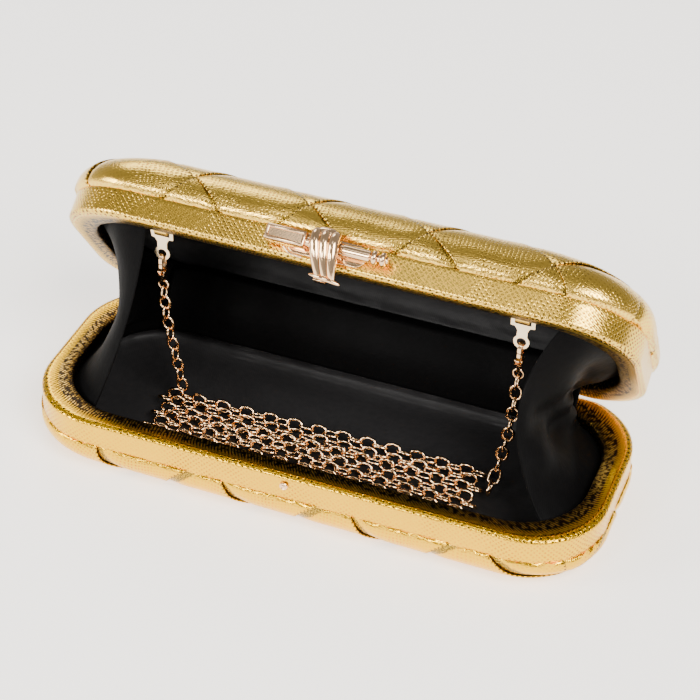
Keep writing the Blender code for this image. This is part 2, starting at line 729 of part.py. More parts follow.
def clasp_section():
    """Outline of the clasp in its own plane, as (y, z) from the middle of its hook."""
    outer = HOOK_BORE + HOOK_WIRE
    half = CLASP_BODY_WIDTH / 2
    points = [(-outer, -HOOK_ARM)]
    waist_z = -CLASP_LENGTH * CLASP_WAIST_SHARE
    for turn in sweep((180.0, 0.0), HOOK_STEPS):
        points.append((outer * math.cos(turn), outer * math.sin(turn)))
    points += [(half, -CLASP_BODY_TOP), (half * CLASP_TAPER_SHARE, waist_z)]
    for turn in sweep(CLASP_EYE_DEGREES, CLASP_EYE_STEPS):
        points.append((EYE_RADIUS * math.cos(turn), -CLASP_LENGTH + EYE_RADIUS * math.sin(turn)))
    points += [(-half * CLASP_TAPER_SHARE, waist_z), (-half, -LEVER_PIVOT_DROP), (-half, -CLASP_BODY_TOP)]
    points += [(HOOK_BORE - LEVER_WIDTH / 2, -CLASP_BODY_TOP), (HOOK_BORE, -CLASP_BODY_TOP + LEVER_WIDTH)]
    for turn in sweep((0.0, 180.0), HOOK_BORE_STEPS):
        points.append((HOOK_BORE * math.cos(turn), HOOK_BORE * math.sin(turn)))
    points.append((-HOOK_BORE, -HOOK_ARM))
    return points


def make_clasp(side_name, side, tab_axis, look):
    """The lobster clasp: hook and body, its sprung lever on a rivet, and the jump ring at its end."""
    axis = add_axis(f"clasp_{side_name}_axis", (0.0, 0.0, -TAB_LENGTH), tab_axis)
    drop = (TAB_HOLE_RADIUS + TAB_EYE_RADIUS) / 2
    origin = Vector((0.0, 0.0, -drop))
    section = [Vector((-HOOK_THICKNESS / 2, y, z)) + origin for y, z in clasp_section()]
    hook = prism("hook", section, (HOOK_THICKNESS, 0.0, 0.0))
    body = add_object(f"lobster_body_{side_name}", hook, look, axis, smooth=40)

    half = CLASP_BODY_WIDTH / 2
    boss_outline = [
        (half - BOSS_INSET, -CLASP_BODY_TOP - LEVER_WIDTH),
        (half * BOSS_TAPER_SHARE, -CLASP_LENGTH * CLASP_TAPER_SHARE),
        (-half * BOSS_TAPER_SHARE, -CLASP_LENGTH * CLASP_TAPER_SHARE),
        (-half + BOSS_INSET, -LEVER_PIVOT_DROP),
        (-half + BOSS_INSET, -CLASP_BODY_TOP - CLEARANCE),
    ]
    boss_section = [Vector((-CLASP_BODY_THICKNESS / 2, y, z)) + origin for y, z in boss_outline]
    boss = prism("boss", boss_section, (CLASP_BODY_THICKNESS, 0.0, 0.0))
    boolean(body, add_object(f"lobster_{side_name}_boss", boss, None, axis), "UNION")
    pivot = origin + Vector((0.0, -LEVER_PIVOT_Y, -LEVER_PIVOT_DROP))
    slot_half = HOOK_THICKNESS / 2 + CLEARANCE
    reach = LEVER_HUB + CLEARANCE
    slot_low = pivot + Vector((-slot_half, -OVERRUN, -reach))
    slot = box("slot", slot_low, pivot + Vector((slot_half, reach, OVERRUN / 2)))
    boolean(body, add_object(f"lobster_{side_name}_slot", slot, None, axis), "DIFFERENCE")
    hole = cylinder("rivet_hole", RIVET_RADIUS + CLEARANCE / 2, OVERRUN, pivot, sides=RIVET_SIDES)
    boolean(body, add_object(f"lobster_{side_name}_rivet_hole", hole, None, axis), "DIFFERENCE")
    eye_centre = origin + Vector((0.0, 0.0, -CLASP_LENGTH))
    eye = cylinder("ring_hole", EYE_HOLE, OVERRUN, eye_centre, sides=EYE_SIDES)
    boolean(body, add_object(f"lobster_{side_name}_ring_hole", eye, None, axis), "DIFFERENCE")

    rivet = cylinder("rivet", RIVET_RADIUS, CLASP_BODY_THICKNESS / 2, pivot, sides=RIVET_SIDES)
    add_object(f"lever_rivet_{side_name}", rivet, look, axis, smooth=40)
    make_jump_ring(side_name, axis, eye_centre, look)
    make_lever(side_name, axis, pivot, origin, look)
    return axis


def make_jump_ring(side_name, axis, eye_centre, look):
    """The small ring between the clasp's eye and the chain."""
    middle = JUMP_RING_RADIUS
    wire = JUMP_RING_WIRE / 2
    rings = []
    for step in range(JUMP_RING_STEPS):
        turn = 2 * math.pi * step / JUMP_RING_STEPS
        outward = Vector((math.cos(turn), 0.0, math.sin(turn)))
        ring = []
        for corner in range(JUMP_RING_SIDES):
            bend = 2 * math.pi * corner / JUMP_RING_SIDES
            across = Vector((0.0, wire * math.sin(bend), 0.0))
            ring.append(outward * (middle + wire * math.cos(bend)) + across)
        rings.append(ring)
    body = loft("jump_ring", rings, True)
    place = eye_centre - Vector((0.0, 0.0, middle))
    add_object(f"jump_ring_{side_name}", body, look, axis, place, smooth=60)


def make_lever(side_name, clasp_axis, pivot, origin, look):
    """The clasp's lever, from its hub up to the hook's tip, with a thumb piece."""
    axis = add_axis(f"lever_{side_name}_axis", pivot, clasp_axis)
    top = LEVER_PIVOT_DROP - LEVER_TOP
    out = HOOK_BORE + HOOK_WIRE - LEVER_PIVOT_Y
    inner = out - LEVER_WIDTH
    hub = LEVER_HUB
    over, high, low, under = [hub * share for share in LEVER_HUB_SHARES]
    thumb = out + LEVER_THUMB
    section = [(-inner, top), (-out, top), (-out, over), (-thumb, high), (-thumb, low), (-out, under)]
    for turn in sweep(LEVER_HUB_DEGREES, LEVER_HUB_STEPS):
        section.append((hub * math.cos(turn), hub * math.sin(turn)))
    section.append((-inner, high))
    outline_points = [Vector((-HOOK_THICKNESS / 2, y, z)) for y, z in section]
    body = prism("lever", outline_points, (HOOK_THICKNESS, 0.0, 0.0))
    lever = add_object(f"lobster_lever_{side_name}", body, look, axis, smooth=40)
    hole = cylinder("lever_hole", RIVET_RADIUS + CLEARANCE / 2, OVERRUN, (0.0, 0.0, 0.0), sides=RIVET_SIDES)
    boolean(lever, add_object(f"lever_{side_name}_hole", hole, None, axis), "DIFFERENCE")


def run_path(side):
    """Corner points of a hanging chain run, from the jump ring down to the laid rows."""
    top = tab_pivot(side)
    fall = TAB_LENGTH + (TAB_HOLE_RADIUS + TAB_EYE_RADIUS) / 2 + CLASP_LENGTH + 2 * JUMP_RING_RADIUS
    lift = (JUMP_RING_WIRE + WIRE_DIAMETER) / 2 + CLEARANCE
    start = top - Vector((0.0, 0.0, fall - lift))
    rest = LINING_FLOOR + LINK_WIDTH
    if side < 0:
        end_x = ROW_CENTRE_X - ROW_LINKS * LINK_PITCH / 2 + LINK_LENGTH * RUN_LEFT_REACH_SHARE
        end = Vector((end_x, start.y + LINK_WIDTH / 2, rest + LINK_LENGTH))
        return [start, (start * 2 + end) / 3 - Vector((WIRE_DIAMETER, 0.0, 0.0)), end]
    draw_in, draw_up = [LINK_LENGTH * share for share in RUN_RIGHT_DRAW_SHARES]
    end_in, end_out = [LINK_LENGTH * share for share in RUN_RIGHT_END_SHARES]
    low = Vector((start.x - draw_in, start.y - WIRE_DIAMETER, rest + draw_up))
    end = Vector((low.x - end_in, low.y - end_out, rest - WIRE_DIAMETER))
    return [start, (start + low) / 2 + Vector((WIRE_DIAMETER, 0.0, 0.0)), low, end]


def smooth_path(points, count):
    """Points spread at equal parameter along a smooth curve through the given ones."""
    ends = [points[0] * 2 - points[1]] + points + [points[-1] * 2 - points[-2]]
    spans = len(points) - 1
    result = []
    for n in range(count):
        place = spans * n / (count - 1)
        k = min(int(place), spans - 1)
        t = place - k
        a, b, c, d = ends[k:k + 4]
        result.append(0.5 * (2 * b + (c - a) * t + (2 * a - 5 * b + 4 * c - d) * t * t
                             + (3 * b - a - 3 * c + d) * t * t * t))
    return result


def stations_along(points):
    """Link places, one pitch apart, along a fine path that starts in the jump ring."""
    fine = smooth_path(points, RUN_STEPS)
    stations = []
    travelled = 0.0
    half_long = (LINK_LENGTH - WIRE_DIAMETER) / 2
    wanted = half_long
    for first, second in zip(fine, fine[1:]):
        step = (second - first).length
        while travelled + step >= wanted:
            along = (second - first).normalized()
            centre = first + along * (wanted - travelled)
            side = along.cross(Vector((1.0, 0.0, 0.0))).normalized()
            stations.append((centre, along, side))
            wanted += LINK_PITCH
        travelled += step
    return stations


def make_knot_clasp(lid_axis, looks):
    """The plate, bar, end rings, rocking knot and its spring on the front of the lid."""
    bar_y = BAR_Y - HINGE_Y
    bar_z = SHOULDER_GAP / 2 + BAR_RISE
    centre = Vector((KNOT_X, bar_y, bar_z))
    gold = looks["rose"]
    make_plate(centre, lid_axis, gold)
    make_bar(centre, lid_axis, gold)
    make_knot(centre, lid_axis, gold)
    make_spring(centre, lid_axis, gold)


def make_plate(centre, lid_axis, look):
    """The rounded plate on the rim band behind the bar."""
    points = []
    for side, ends in ((1, (-90.0, 90.0)), (-1, (90.0, 270.0))):
        for turn in sweep(ends, PLATE_END_STEPS):
            x = side * (PLATE_HALF_LENGTH - PLATE_HALF_HEIGHT) + PLATE_HALF_HEIGHT * math.cos(turn)
            points.append(Vector((centre.x + x, 0.0, centre.z + PLATE_HALF_HEIGHT * math.sin(turn))))
    front = -HALF_DEPTH - HINGE_Y - CLEARANCE - PLATE_THICKNESS
    section = [p + Vector((0.0, front, 0.0)) for p in points]
    body = prism("plate", section, (0.0, PLATE_THICKNESS, 0.0))
    add_object("clasp_plate", body, look, lid_axis, smooth=40)


def make_bar(centre, lid_axis, look):
    """The square bar with its groove, the rod through the knot, and the two end rings."""
    half = BAR_SIZE / 2
    left_end = -BAR_LEFT
    square_end = -BAR_NECK
    bm = bmesh.new()
    size = Vector((square_end - left_end, BAR_SIZE, BAR_SIZE))
    middle = Vector(((left_end + square_end) / 2, 0.0, 0.0))
    bmesh.ops.create_cube(bm, size=1.0, matrix=Matrix.Translation(middle) @ Matrix.Diagonal((*size, 1.0)))
    bmesh.ops.bevel(bm, geom=bm.edges[:], offset=BAR_BEVEL, segments=1, affect="EDGES")
    bar = add_object("clasp_bar", finish_mesh("bar", bm), look, lid_axis, centre, smooth=30)
    groove = box("groove", (left_end + BAR_GROOVE_WIDTH / 2, -half - OVERRUN, -BAR_GROOVE_WIDTH / 2),
                 (square_end + OVERRUN, -half + BAR_GROOVE_DEPTH, BAR_GROOVE_WIDTH / 2))
    boolean(bar, add_object("bar_groove", groove, None, lid_axis, centre), "DIFFERENCE")
    tip_start = BAR_RIGHT - 2 * RING_PITCH
    profile = [(square_end - half, CORE_ROD_RADIUS), (BAR_NECK, CORE_ROD_RADIUS), (BAR_NECK, ROD_RADIUS)]
    profile += [(tip_start, ROD_RADIUS), (tip_start, ROD_TIP_RADIUS), (BAR_RIGHT, ROD_TIP_RADIUS)]
    rings = []
    for along, radius in profile:
        ring = []
        for k in range(ROUND_SIDES):
            turn = 2 * math.pi * k / ROUND_SIDES
            ring.append(Vector((along, radius * math.cos(turn), radius * math.sin(turn))))
        rings.append(ring)
    rod = add_object("bar_rod", loft("rod", rings, False), None, lid_axis, centre)
    boolean(bar, rod, "UNION")
    for number, name in enumerate(("inner", "outer")):
        start = tip_start + CLEARANCE + number * RING_PITCH
        bore = ROD_TIP_RADIUS + CLEARANCE
        edge = RING_WIDTH * RING_EDGE_SHARE
        ring_profile = [(start, bore), (start, RING_RADIUS - edge), (start + edge, RING_RADIUS),
                        (start + RING_WIDTH - edge, RING_RADIUS), (start + RING_WIDTH, RING_RADIUS - edge),
                        (start + RING_WIDTH, bore)]
        body = turned("bar_ring", ring_profile, (0.0, 0.0, 0.0))
        add_object(f"bar_ring_{name}", body, look, lid_axis, centre, smooth=40)


def strand_path(offset):
    """A strand's middle line: over the front of the bar and down to the foot, leaning as it goes."""
    points = []
    start = math.radians(STRAND_START_DEGREES)
    leave = math.radians(STRAND_LEAVE_DEGREES)
    leave_y = STRAND_ORBIT * math.cos(leave)
    leave_z = STRAND_ORBIT * math.sin(leave)
    for step in range(STRAND_STEPS):
        share = step / (STRAND_STEPS - 1)
        if share <= STRAND_WRAP_SHARE:
            turn = start + (leave - start) * share / STRAND_WRAP_SHARE
            y = STRAND_ORBIT * math.cos(turn)
            z = STRAND_ORBIT * math.sin(turn)
        else:
            rest = (share - STRAND_WRAP_SHARE) / (1 - STRAND_WRAP_SHARE)
            y = leave_y + STRAND_ORBIT * STRAND_RETURN_SHARE * rest ** STRAND_RETURN_POWER
            z = leave_z - (STRAND_DROP + leave_z) * rest
        lean = STRAND_LEAN * share ** 2
        gather = 1.0 - STRAND_GATHER_SHARE * share ** 2
        points.append(Vector((offset * gather + lean, y, z)))
    return points


def strand_radii():
    """Radius of a strand at each point of its path, swelling in the middle."""
    first, span = STRAND_SWELL_SPAN_SHARES
    radii = []
    for step in range(STRAND_STEPS):
        swell = math.sin(math.pi * (first + span * step / (STRAND_STEPS - 1)))
        radii.append(STRAND_RADIUS * (STRAND_END_SHARE + (1 - STRAND_END_SHARE) * swell))
    return radii


def make_knot(centre, lid_axis, look):
    """Three strands wrapped over the bar, joined by a hub, with a flared foot and the catch lip."""
    axis = add_axis("knot_axis", centre, lid_axis)
    hub_profile = [(-HUB_HALF_LENGTH, CORE_ROD_RADIUS + CLEARANCE), (-HUB_HALF_LENGTH, HUB_RADIUS),
                   (HUB_HALF_LENGTH, HUB_RADIUS), (HUB_HALF_LENGTH, CORE_ROD_RADIUS + CLEARANCE)]
    knot = add_object("knot_lever", turned("knot", hub_profile, (0.0, 0.0, 0.0)), look, axis, smooth=45)
    for number in (-1, 0, 1):
        strand = tube("strand", strand_path(number * STRAND_PITCH), strand_radii(), STRAND_SIDES)
        boolean(knot, add_object(f"knot_strand_{number + 2}", strand, None, axis), "UNION")
    foot_z = -STRAND_DROP
    foot_y = strand_path(0.0)[-1].y
    foot_path = []
    for step in range(len(FOOT_SWELL_SHARES)):
        share = step / (len(FOOT_SWELL_SHARES) - 1)
        x = STRAND_LEAN + FOOT_LENGTH * (share - 0.5)
        y = foot_y - FOOT_RADIUS * math.sin(math.pi * share)
        foot_path.append(Vector((x, y, foot_z - FOOT_TILT * share)))
    radii = [FOOT_RADIUS * share for share in FOOT_SWELL_SHARES]
    foot = add_object("knot_foot", tube("foot", foot_path, radii, STRAND_SIDES), None, axis)
    boolean(knot, foot, "UNION")
    lip_top = -(BAR_RISE + SHOULDER_GAP + STUD_DROP + STUD_RADIUS + CLEARANCE / 2)
    lip_x = STUD_X - KNOT_X
    lip = box("lip", (lip_x - LIP_WIDTH / 2, foot_y - FOOT_RADIUS / 2, lip_top - LIP_THICKNESS),
              (lip_x + LIP_WIDTH / 2, LIP_REACH, lip_top))
    boolean(knot, add_object("knot_lip", lip, None, axis), "UNION")


def make_spring(centre, lid_axis, look):
    """The end of the wire spring that shows below the bar, beside the knot."""
    below = -BAR_SIZE / 2
    start_x = -HUB_HALF_LENGTH - SPRING_REACH - STRAND_RADIUS
    end_x = -STRAND_PITCH - STRAND_RADIUS - SPRING_WIRE - 2 * CLEARANCE
    bend_in, bend_down = SPRING_BEND_SHARES
    start = Vector((start_x, 0.0, below - SPRING_WIRE - CLEARANCE))
    bend = Vector((start_x + SPRING_REACH * bend_in, 0.0, below - SPRING_SAG * bend_down))
    end = Vector((end_x, 0.0, below - SPRING_SAG))
    path = smooth_path([start, bend, end], SPRING_STEPS)
    radii = [SPRING_WIRE] * len(path)
    add_object("latch_spring", tube("spring", path, radii, SPRING_SIDES), look, lid_axis, centre, smooth=60)


def make_stud(look):
    """The catch stud on the front of the lower rim band."""
    y = -HALF_DEPTH - CLEARANCE
    z = LOWER_HEIGHT - STUD_DROP
    dome = STUD_DOME_SHARE
    profile = [(0.0, STUD_RADIUS), (-STUD_HEIGHT * dome, STUD_RADIUS), (-STUD_HEIGHT, STUD_RADIUS * dome)]
    rings = []
    for along, radius in profile:
        ring = []
        for k in range(STUD_SIDES):
            turn = 2 * math.pi * k / STUD_SIDES
            ring.append(Vector((STUD_X + radius * math.cos(turn), y + along, z + radius * math.sin(turn))))
        rings.append(ring)
    add_object("catch_stud", loft("stud", rings, False), look, smooth=40)


def cloth(name, rows, look):
    """A thin cloth body through a grid of points."""
    bm = bmesh.new()
    last = add_ring(bm, rows[0], closed=False)
    for row in rows[1:]:
        last = extrude_ring(bm, last, row, closed=False)
    item = add_object(name, finish_mesh(name, bm), look, smooth=60)
    thick = item.modifiers.new("thickness", "SOLIDIFY")
    thick.thickness = GUSSET_THICKNESS
    thick.offset = 0.0
    return item


def gusset_x(share, front_x):
    """How far along the bag a gusset stands, from its front edge to the hinge side."""
    back = max((share - GUSSET_BEND_SHARE) / (1 - GUSSET_BEND_SHARE), 0.0)
    bend = (GUSSET_X - GUSSET_BACK_X) * back * back * (3 - 2 * back)
    return GUSSET_X - (GUSSET_X - front_x) * (1 - share) ** GUSSET_LEAN_POWER - bend


def gusset_line(share, side, front_x):
    """One line of a gusset, from the lower lining up past both lips to the lid's lining."""
    y = GUSSET_FRONT_Y + (GUSSET_BACK_Y - GUSSET_FRONT_Y) * share
    near_wall = abs(y / GUSSET_FRONT_Y) ** GUSSET_RISE_POWER
    seat = GUSSET_THICKNESS / 2 + CLEARANCE
    floor = LOWER_HEIGHT - LINING_FLOOR - seat - GUSSET_RISE_LOWER * near_wall
    ceiling = LID_HEIGHT - LINING_FLOOR - seat - GUSSET_RISE_LID * near_wall
    low_x = side * gusset_x(share, GUSSET_X)
    high_x = side * gusset_x(share, front_x)
    lid_y = y - HINGE_Y
    seam = SHOULDER_GAP / 2
    return [
        Vector((low_x, y, LOWER_HEIGHT - floor)),
        Vector((low_x, y, LOWER_HEIGHT - GUSSET_LIP_DEPTH)),
        lid_to_world((high_x, lid_y, seam + GUSSET_LIP_DEPTH)),
        lid_to_world((high_x, lid_y, seam + ceiling)),
    ]


def make_gusset(side_name, side, lid_front_x, tuck, look):
    """A cloth gusset between the halves, from its free front edge to the hinge side."""
    rows = []
    for u_step in range(GUSSET_STEPS + 1):
        u = u_step / GUSSET_STEPS
        low, low_lip, high_lip, high = gusset_line(u, side, lid_front_x)
        row = [low, low.lerp(low_lip, 0.5)]
        for v_step in range(GUSSET_STEPS - 3):
            v = v_step / (GUSSET_STEPS - 4)
            slack = math.sin(math.pi * v) * (1 - u) ** GUSSET_SLACK_POWER
            wave = math.sin(2 * math.pi * FOLD_COUNT * u) * math.sin(math.pi * v) * u * (1 - u) * 4
            point = low_lip.lerp(high_lip, v)
            point.x -= side * (tuck * slack + FOLD_DEPTH * wave * min(1.0, tuck / FOLD_DEPTH))
            row.append(point)
        row += [high_lip.lerp(high, 0.5), high]
        rows.append(row)
    cloth(f"gusset_{side_name}", rows, look)


def make_back_cloth(look):
    """The lining strip that covers the hinges inside and joins the two linings."""
    inset = HALF_DEPTH - RIM_WIDTH - BACK_CLOTH_INSET
    low = Vector((0.0, inset, LOWER_HEIGHT - BACK_CLOTH_DEPTH))
    high = lid_to_world((0.0, inset - HINGE_Y, SHOULDER_GAP / 2 + BACK_CLOTH_DEPTH))
    inward = Vector((0.0, -1.0, 0.0))
    columns = []
    for v_step in range(BACK_CLOTH_STEPS + 1):
        v = v_step / BACK_CLOTH_STEPS
        point = low.lerp(high, v) + inward * BACK_CLOTH_BELLY * math.sin(math.pi * v)
        column = []
        for end in BACK_CLOTH_COLUMN_SHARES:
            column.append(Vector((end * BACK_CLOTH_HALF_LENGTH, point.y, point.z)))
        columns.append(column)
    cloth("back_lining", columns, look)


def build():
    """Builds the whole bag."""
    clear_scene()
    looks = {
        "leather": material("gold_leather", (0.78, 0.60, 0.28), 0.32, 0.9),
        "board": material("moulded_board", (0.32, 0.26, 0.20), 0.8, 0.0),
        "steel": material("frame_steel", (0.62, 0.60, 0.56), 0.35, 1.0),
        "satin": material("black_satin", (0.012, 0.011, 0.011), 0.55, 0.0),
        "rose": material("rose_gold", (0.82, 0.56, 0.42), 0.15, 1.0),
        "pale": material("pale_gold", (0.88, 0.78, 0.64), 0.2, 1.0),
    }
    lid_axis = add_axis("lid_axis", (0.0, HINGE_Y, HINGE_Z), rotation=(LID_ANGLE, 0.0, 0.0))
    make_half("lower", Place(None, -1), LOWER_HEIGHT, looks)
    make_half("lid", Place(lid_axis, 1), LID_HEIGHT, looks)
    for side_name, side in (("left", -1), ("right", 1)):
        make_hinge(side_name, side, lid_axis, looks["steel"])
        make_anchor(side_name, side, lid_axis, looks["leather"])
        tab_axis = make_tab(side_name, side, looks["pale"])
        make_clasp(side_name, side, tab_axis, looks["rose"])
        make_chain(f"chain_run_{side_name}", stations_along(run_path(side)), looks["rose"])
    make_chain_rows(looks["rose"])
    make_knot_clasp(lid_axis, looks)
    make_stud(looks["rose"])
    make_gusset("left", -1, GUSSET_LID_LEFT_X, LEFT_TUCK, looks["satin"])
    make_gusset("right", 1, GUSSET_X, RIGHT_TUCK, looks["satin"])
    make_back_cloth(looks["satin"])


build()
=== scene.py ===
"""Looks of an open evening clutch: woven gold leather outside, black satin and a chain strap inside.

Lengths are in metres in the bag's own frame: +Z is up, +X runs along the bag and -Y is its front.
"""

import logging
import math
from collections.abc import Iterable
from dataclasses import dataclass, field
from enum import Enum

import bmesh
import bpy
import numpy as np
from mathutils import Matrix, Vector


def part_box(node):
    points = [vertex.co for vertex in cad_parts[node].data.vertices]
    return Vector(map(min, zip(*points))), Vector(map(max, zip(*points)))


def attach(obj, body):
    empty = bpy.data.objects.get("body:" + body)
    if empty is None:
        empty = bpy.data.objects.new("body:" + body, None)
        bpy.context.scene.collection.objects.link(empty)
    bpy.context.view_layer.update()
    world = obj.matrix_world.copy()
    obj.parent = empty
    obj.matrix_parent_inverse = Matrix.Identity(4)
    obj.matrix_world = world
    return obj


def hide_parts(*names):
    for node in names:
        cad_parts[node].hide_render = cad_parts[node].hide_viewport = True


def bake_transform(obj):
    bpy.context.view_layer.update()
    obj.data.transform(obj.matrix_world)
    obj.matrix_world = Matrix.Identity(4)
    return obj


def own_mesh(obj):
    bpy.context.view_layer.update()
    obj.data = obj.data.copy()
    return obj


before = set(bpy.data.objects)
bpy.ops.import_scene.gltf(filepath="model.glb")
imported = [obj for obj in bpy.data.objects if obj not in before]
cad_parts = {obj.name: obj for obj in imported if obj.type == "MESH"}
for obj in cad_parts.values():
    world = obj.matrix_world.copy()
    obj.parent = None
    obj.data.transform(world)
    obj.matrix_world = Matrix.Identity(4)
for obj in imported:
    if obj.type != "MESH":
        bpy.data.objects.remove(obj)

log = logging.getLogger("clutch")
Pair = tuple[float, float]
Triple = tuple[float, float, float]
BMesh = bmesh.types.BMesh
Socket = bpy.types.NodeSocket
MM = 0.001
SAME_PLACE = 1e-6
TINY = 1e-12


class Half(Enum):
    """The two halves of the bag, by the name of the body that each rides on."""

    LOWER = "lower_half"
    LID = "lid"

    @property
    def prefix(self) -> str:
        """The start of the names of this half's nodes."""
        return "lower" if self is Half.LOWER else "lid"


@dataclass(frozen=True)
class BagForm:
    """Sizes that both halves share."""

    half_length: float = 100 * MM
    half_depth: float = 40 * MM
    corner_radius: float = 26.4 * MM
    corner_shrink: float = 0.3
    lower_height: float = 20 * MM
    lid_height: float = 24.5 * MM
    seam_gap: float = 3.6 * MM
    lid_open: float = math.radians(53.4)
    hinge_y: float = 37.5 * MM
    hinge_z: float = 21.8 * MM
    floor_inset_x: float = 22.5 * MM
    floor_inset_y: float = 14.8 * MM
    bend_start: float = 11 * MM
    band_height: float = 8 * MM

    def height(self, half: Half) -> float:
        """Height of a half from its shoulder to its flat side."""
        return self.lower_height if half is Half.LOWER else self.lid_height

    def lid_to_row(self, points: np.ndarray) -> np.ndarray:
        """Turns points of the hinge's frame to where the open lid has them.

        Args:
            points: Array whose last axis is x, y, z from the hinge axis, lid shut.

        Returns:
            The points in the bag's frame.
        """
        turn = -self.lid_open
        x, y, z = points[..., 0], points[..., 1], points[..., 2]
        row_y = self.hinge_y + y * math.cos(turn) - z * math.sin(turn)
        row_z = self.hinge_z + y * math.sin(turn) + z * math.cos(turn)
        return np.stack([x, row_y, row_z], axis=-1)

    def place(self, half: Half, points: np.ndarray) -> np.ndarray:
        """Puts points given as x, y and height beyond the shoulder into the bag's frame.

        Args:
            half: The half that they belong to.
            points: Array whose last axis is x, y, height beyond the shoulder.

        Returns:
            The points in the bag's frame.
        """
        x, y, beyond = points[..., 0], points[..., 1], points[..., 2]
        if half is Half.LOWER:
            return np.stack([x, y, self.lower_height - beyond], axis=-1)
        shut = np.stack([x, y - self.hinge_y, beyond + self.seam_gap / 2], axis=-1)
        return self.lid_to_row(shut)


FORM = BagForm()


def walked_along(points: np.ndarray) -> np.ndarray:
    """Distance of each point of a line from its first point, measured along the line."""
    return np.concatenate([[0.0], np.cumsum(np.linalg.norm(np.diff(points, axis=0), axis=-1))])


@dataclass(frozen=True)
class Outline:
    """Stations round the bag's rounded outline, from the middle of the back and round again."""

    back_steps: int = 14
    end_steps: int = 6
    front_steps: int = 30
    corner_steps: int = 14
    least_radius: float = 0.2 * MM

    def stations(self) -> np.ndarray:
        """Where each station stands on any ring.

        Returns:
            Rows of (share of the corner's x, share of its y, direction's cosine and sine).
        """
        quarter = math.pi / 2
        back, end, front = self.back_steps, self.end_steps, self.front_steps

        def corner(x: float, y: float, first: float) -> list[Triple]:
            """Stations of one rounded corner, from its first direction on."""
            return [(x, y, first + quarter * k / self.corner_steps) for k in range(self.corner_steps)]

        rows = [(-k / back, 1.0, quarter) for k in range(back)]
        rows += corner(-1.0, 1.0, quarter)
        rows += [(-1.0, 1.0 - 2.0 * k / end, 2 * quarter) for k in range(end)]
        rows += corner(-1.0, -1.0, 2 * quarter)
        rows += [(-1.0 + 2.0 * k / front, -1.0, 3 * quarter) for k in range(front)]
        rows += corner(1.0, -1.0, 3 * quarter)
        rows += [(1.0, -1.0 + 2.0 * k / end, 0.0) for k in range(end)]
        rows += corner(1.0, 1.0, 0.0)
        rows += [(1.0 - k / back, 1.0, quarter) for k in range(back + 1)]
        return np.array([(x, y, math.cos(turn), math.sin(turn)) for x, y, turn in rows])

    def ring(self, inset_x: float, inset_y: float) -> np.ndarray:
        """One ring of the outline, drawn in by the insets.

        Args:
            inset_x: How far the ends are drawn in.
            inset_y: How far the long sides are drawn in.

        Returns:
            Rows of (x, y), the last the same as the first.
        """
        stations = self.stations()
        radius = max(FORM.corner_radius - FORM.corner_shrink * inset_y, self.least_radius)
        centre_x = FORM.half_length - inset_x - radius
        centre_y = FORM.half_depth - inset_y - radius
        x = stations[:, 0] * centre_x + stations[:, 2] * radius
        y = stations[:, 1] * centre_y + stations[:, 3] * radius
        return np.stack([x, y], axis=-1)

    def lengths(self) -> np.ndarray:
        """Distance of each station along the outermost ring, starting at zero."""
        return walked_along(self.ring(0.0, 0.0))


OUTLINE = Outline()


@dataclass(frozen=True)
class Level:
    """One ring of a layer: how far it is drawn in and how far it lies beyond the shoulder."""

    inset_x: float
    inset_y: float
    beyond: float


def thicken(item: bpy.types.Object, thickness: float) -> None:
    """Gives a surface a thickness, half of it on each side.

    Args:
        item: The piece.
        thickness: Its thickness.
    """
    thick = item.modifiers.new("thickness", "SOLIDIFY")
    thick.thickness = thickness
    thick.offset = 0.0


def bend_levels(wall_inset: float, floor_rise: float, height: float, start: float,
                steps: int = 12) -> list[Level]:
    """Rings of a surface of a half, from its rim edge over the bend to its flat side.

    Args:
        wall_inset: Inset of the upright wall.
        floor_rise: How far inside the outer flat side the surface's own lies.
        height: Height of the half.
        start: Height beyond the shoulder where the surface starts.
        steps: Steps round the bend.

    Returns:
        The rings in order.
    """
    levels = [Level(wall_inset, wall_inset, start)]
    drop = height - floor_rise - FORM.bend_start
    for step in range(steps + 1):
        turn = math.pi / 2 * step / steps
        draw = 1 - math.cos(turn)
        in_x = wall_inset + (FORM.floor_inset_x - wall_inset) * draw
        in_y = wall_inset + (FORM.floor_inset_y - wall_inset) * draw
        levels.append(Level(in_x, in_y, FORM.bend_start + drop * math.sin(turn)))
    return levels


def half_rings(outline: Outline, levels: list[Level], shares: Iterable[float], waist: float) -> np.ndarray:
    """Rings of a layer of a half, down to its flat side, which closes on a line.

    Args:
        outline: The stations round each ring.
        levels: The rings from the rim to the flat side.
        shares: Width of each ring inside the flat side, as a share of the flat side's.
        waist: Share of the flat side's length that the line keeps.

    Returns:
        Rings of x, y and height beyond the shoulder.
    """
    rings = []
    for level in levels:
        ring = outline.ring(level.inset_x, level.inset_y)
        rings.append(np.column_stack([ring, np.full(len(ring), level.beyond)]))
    last = rings[-1]
    rings += [last * (waist + (1 - waist) * share, share, 1.0) for share in shares]
    return np.array(rings)


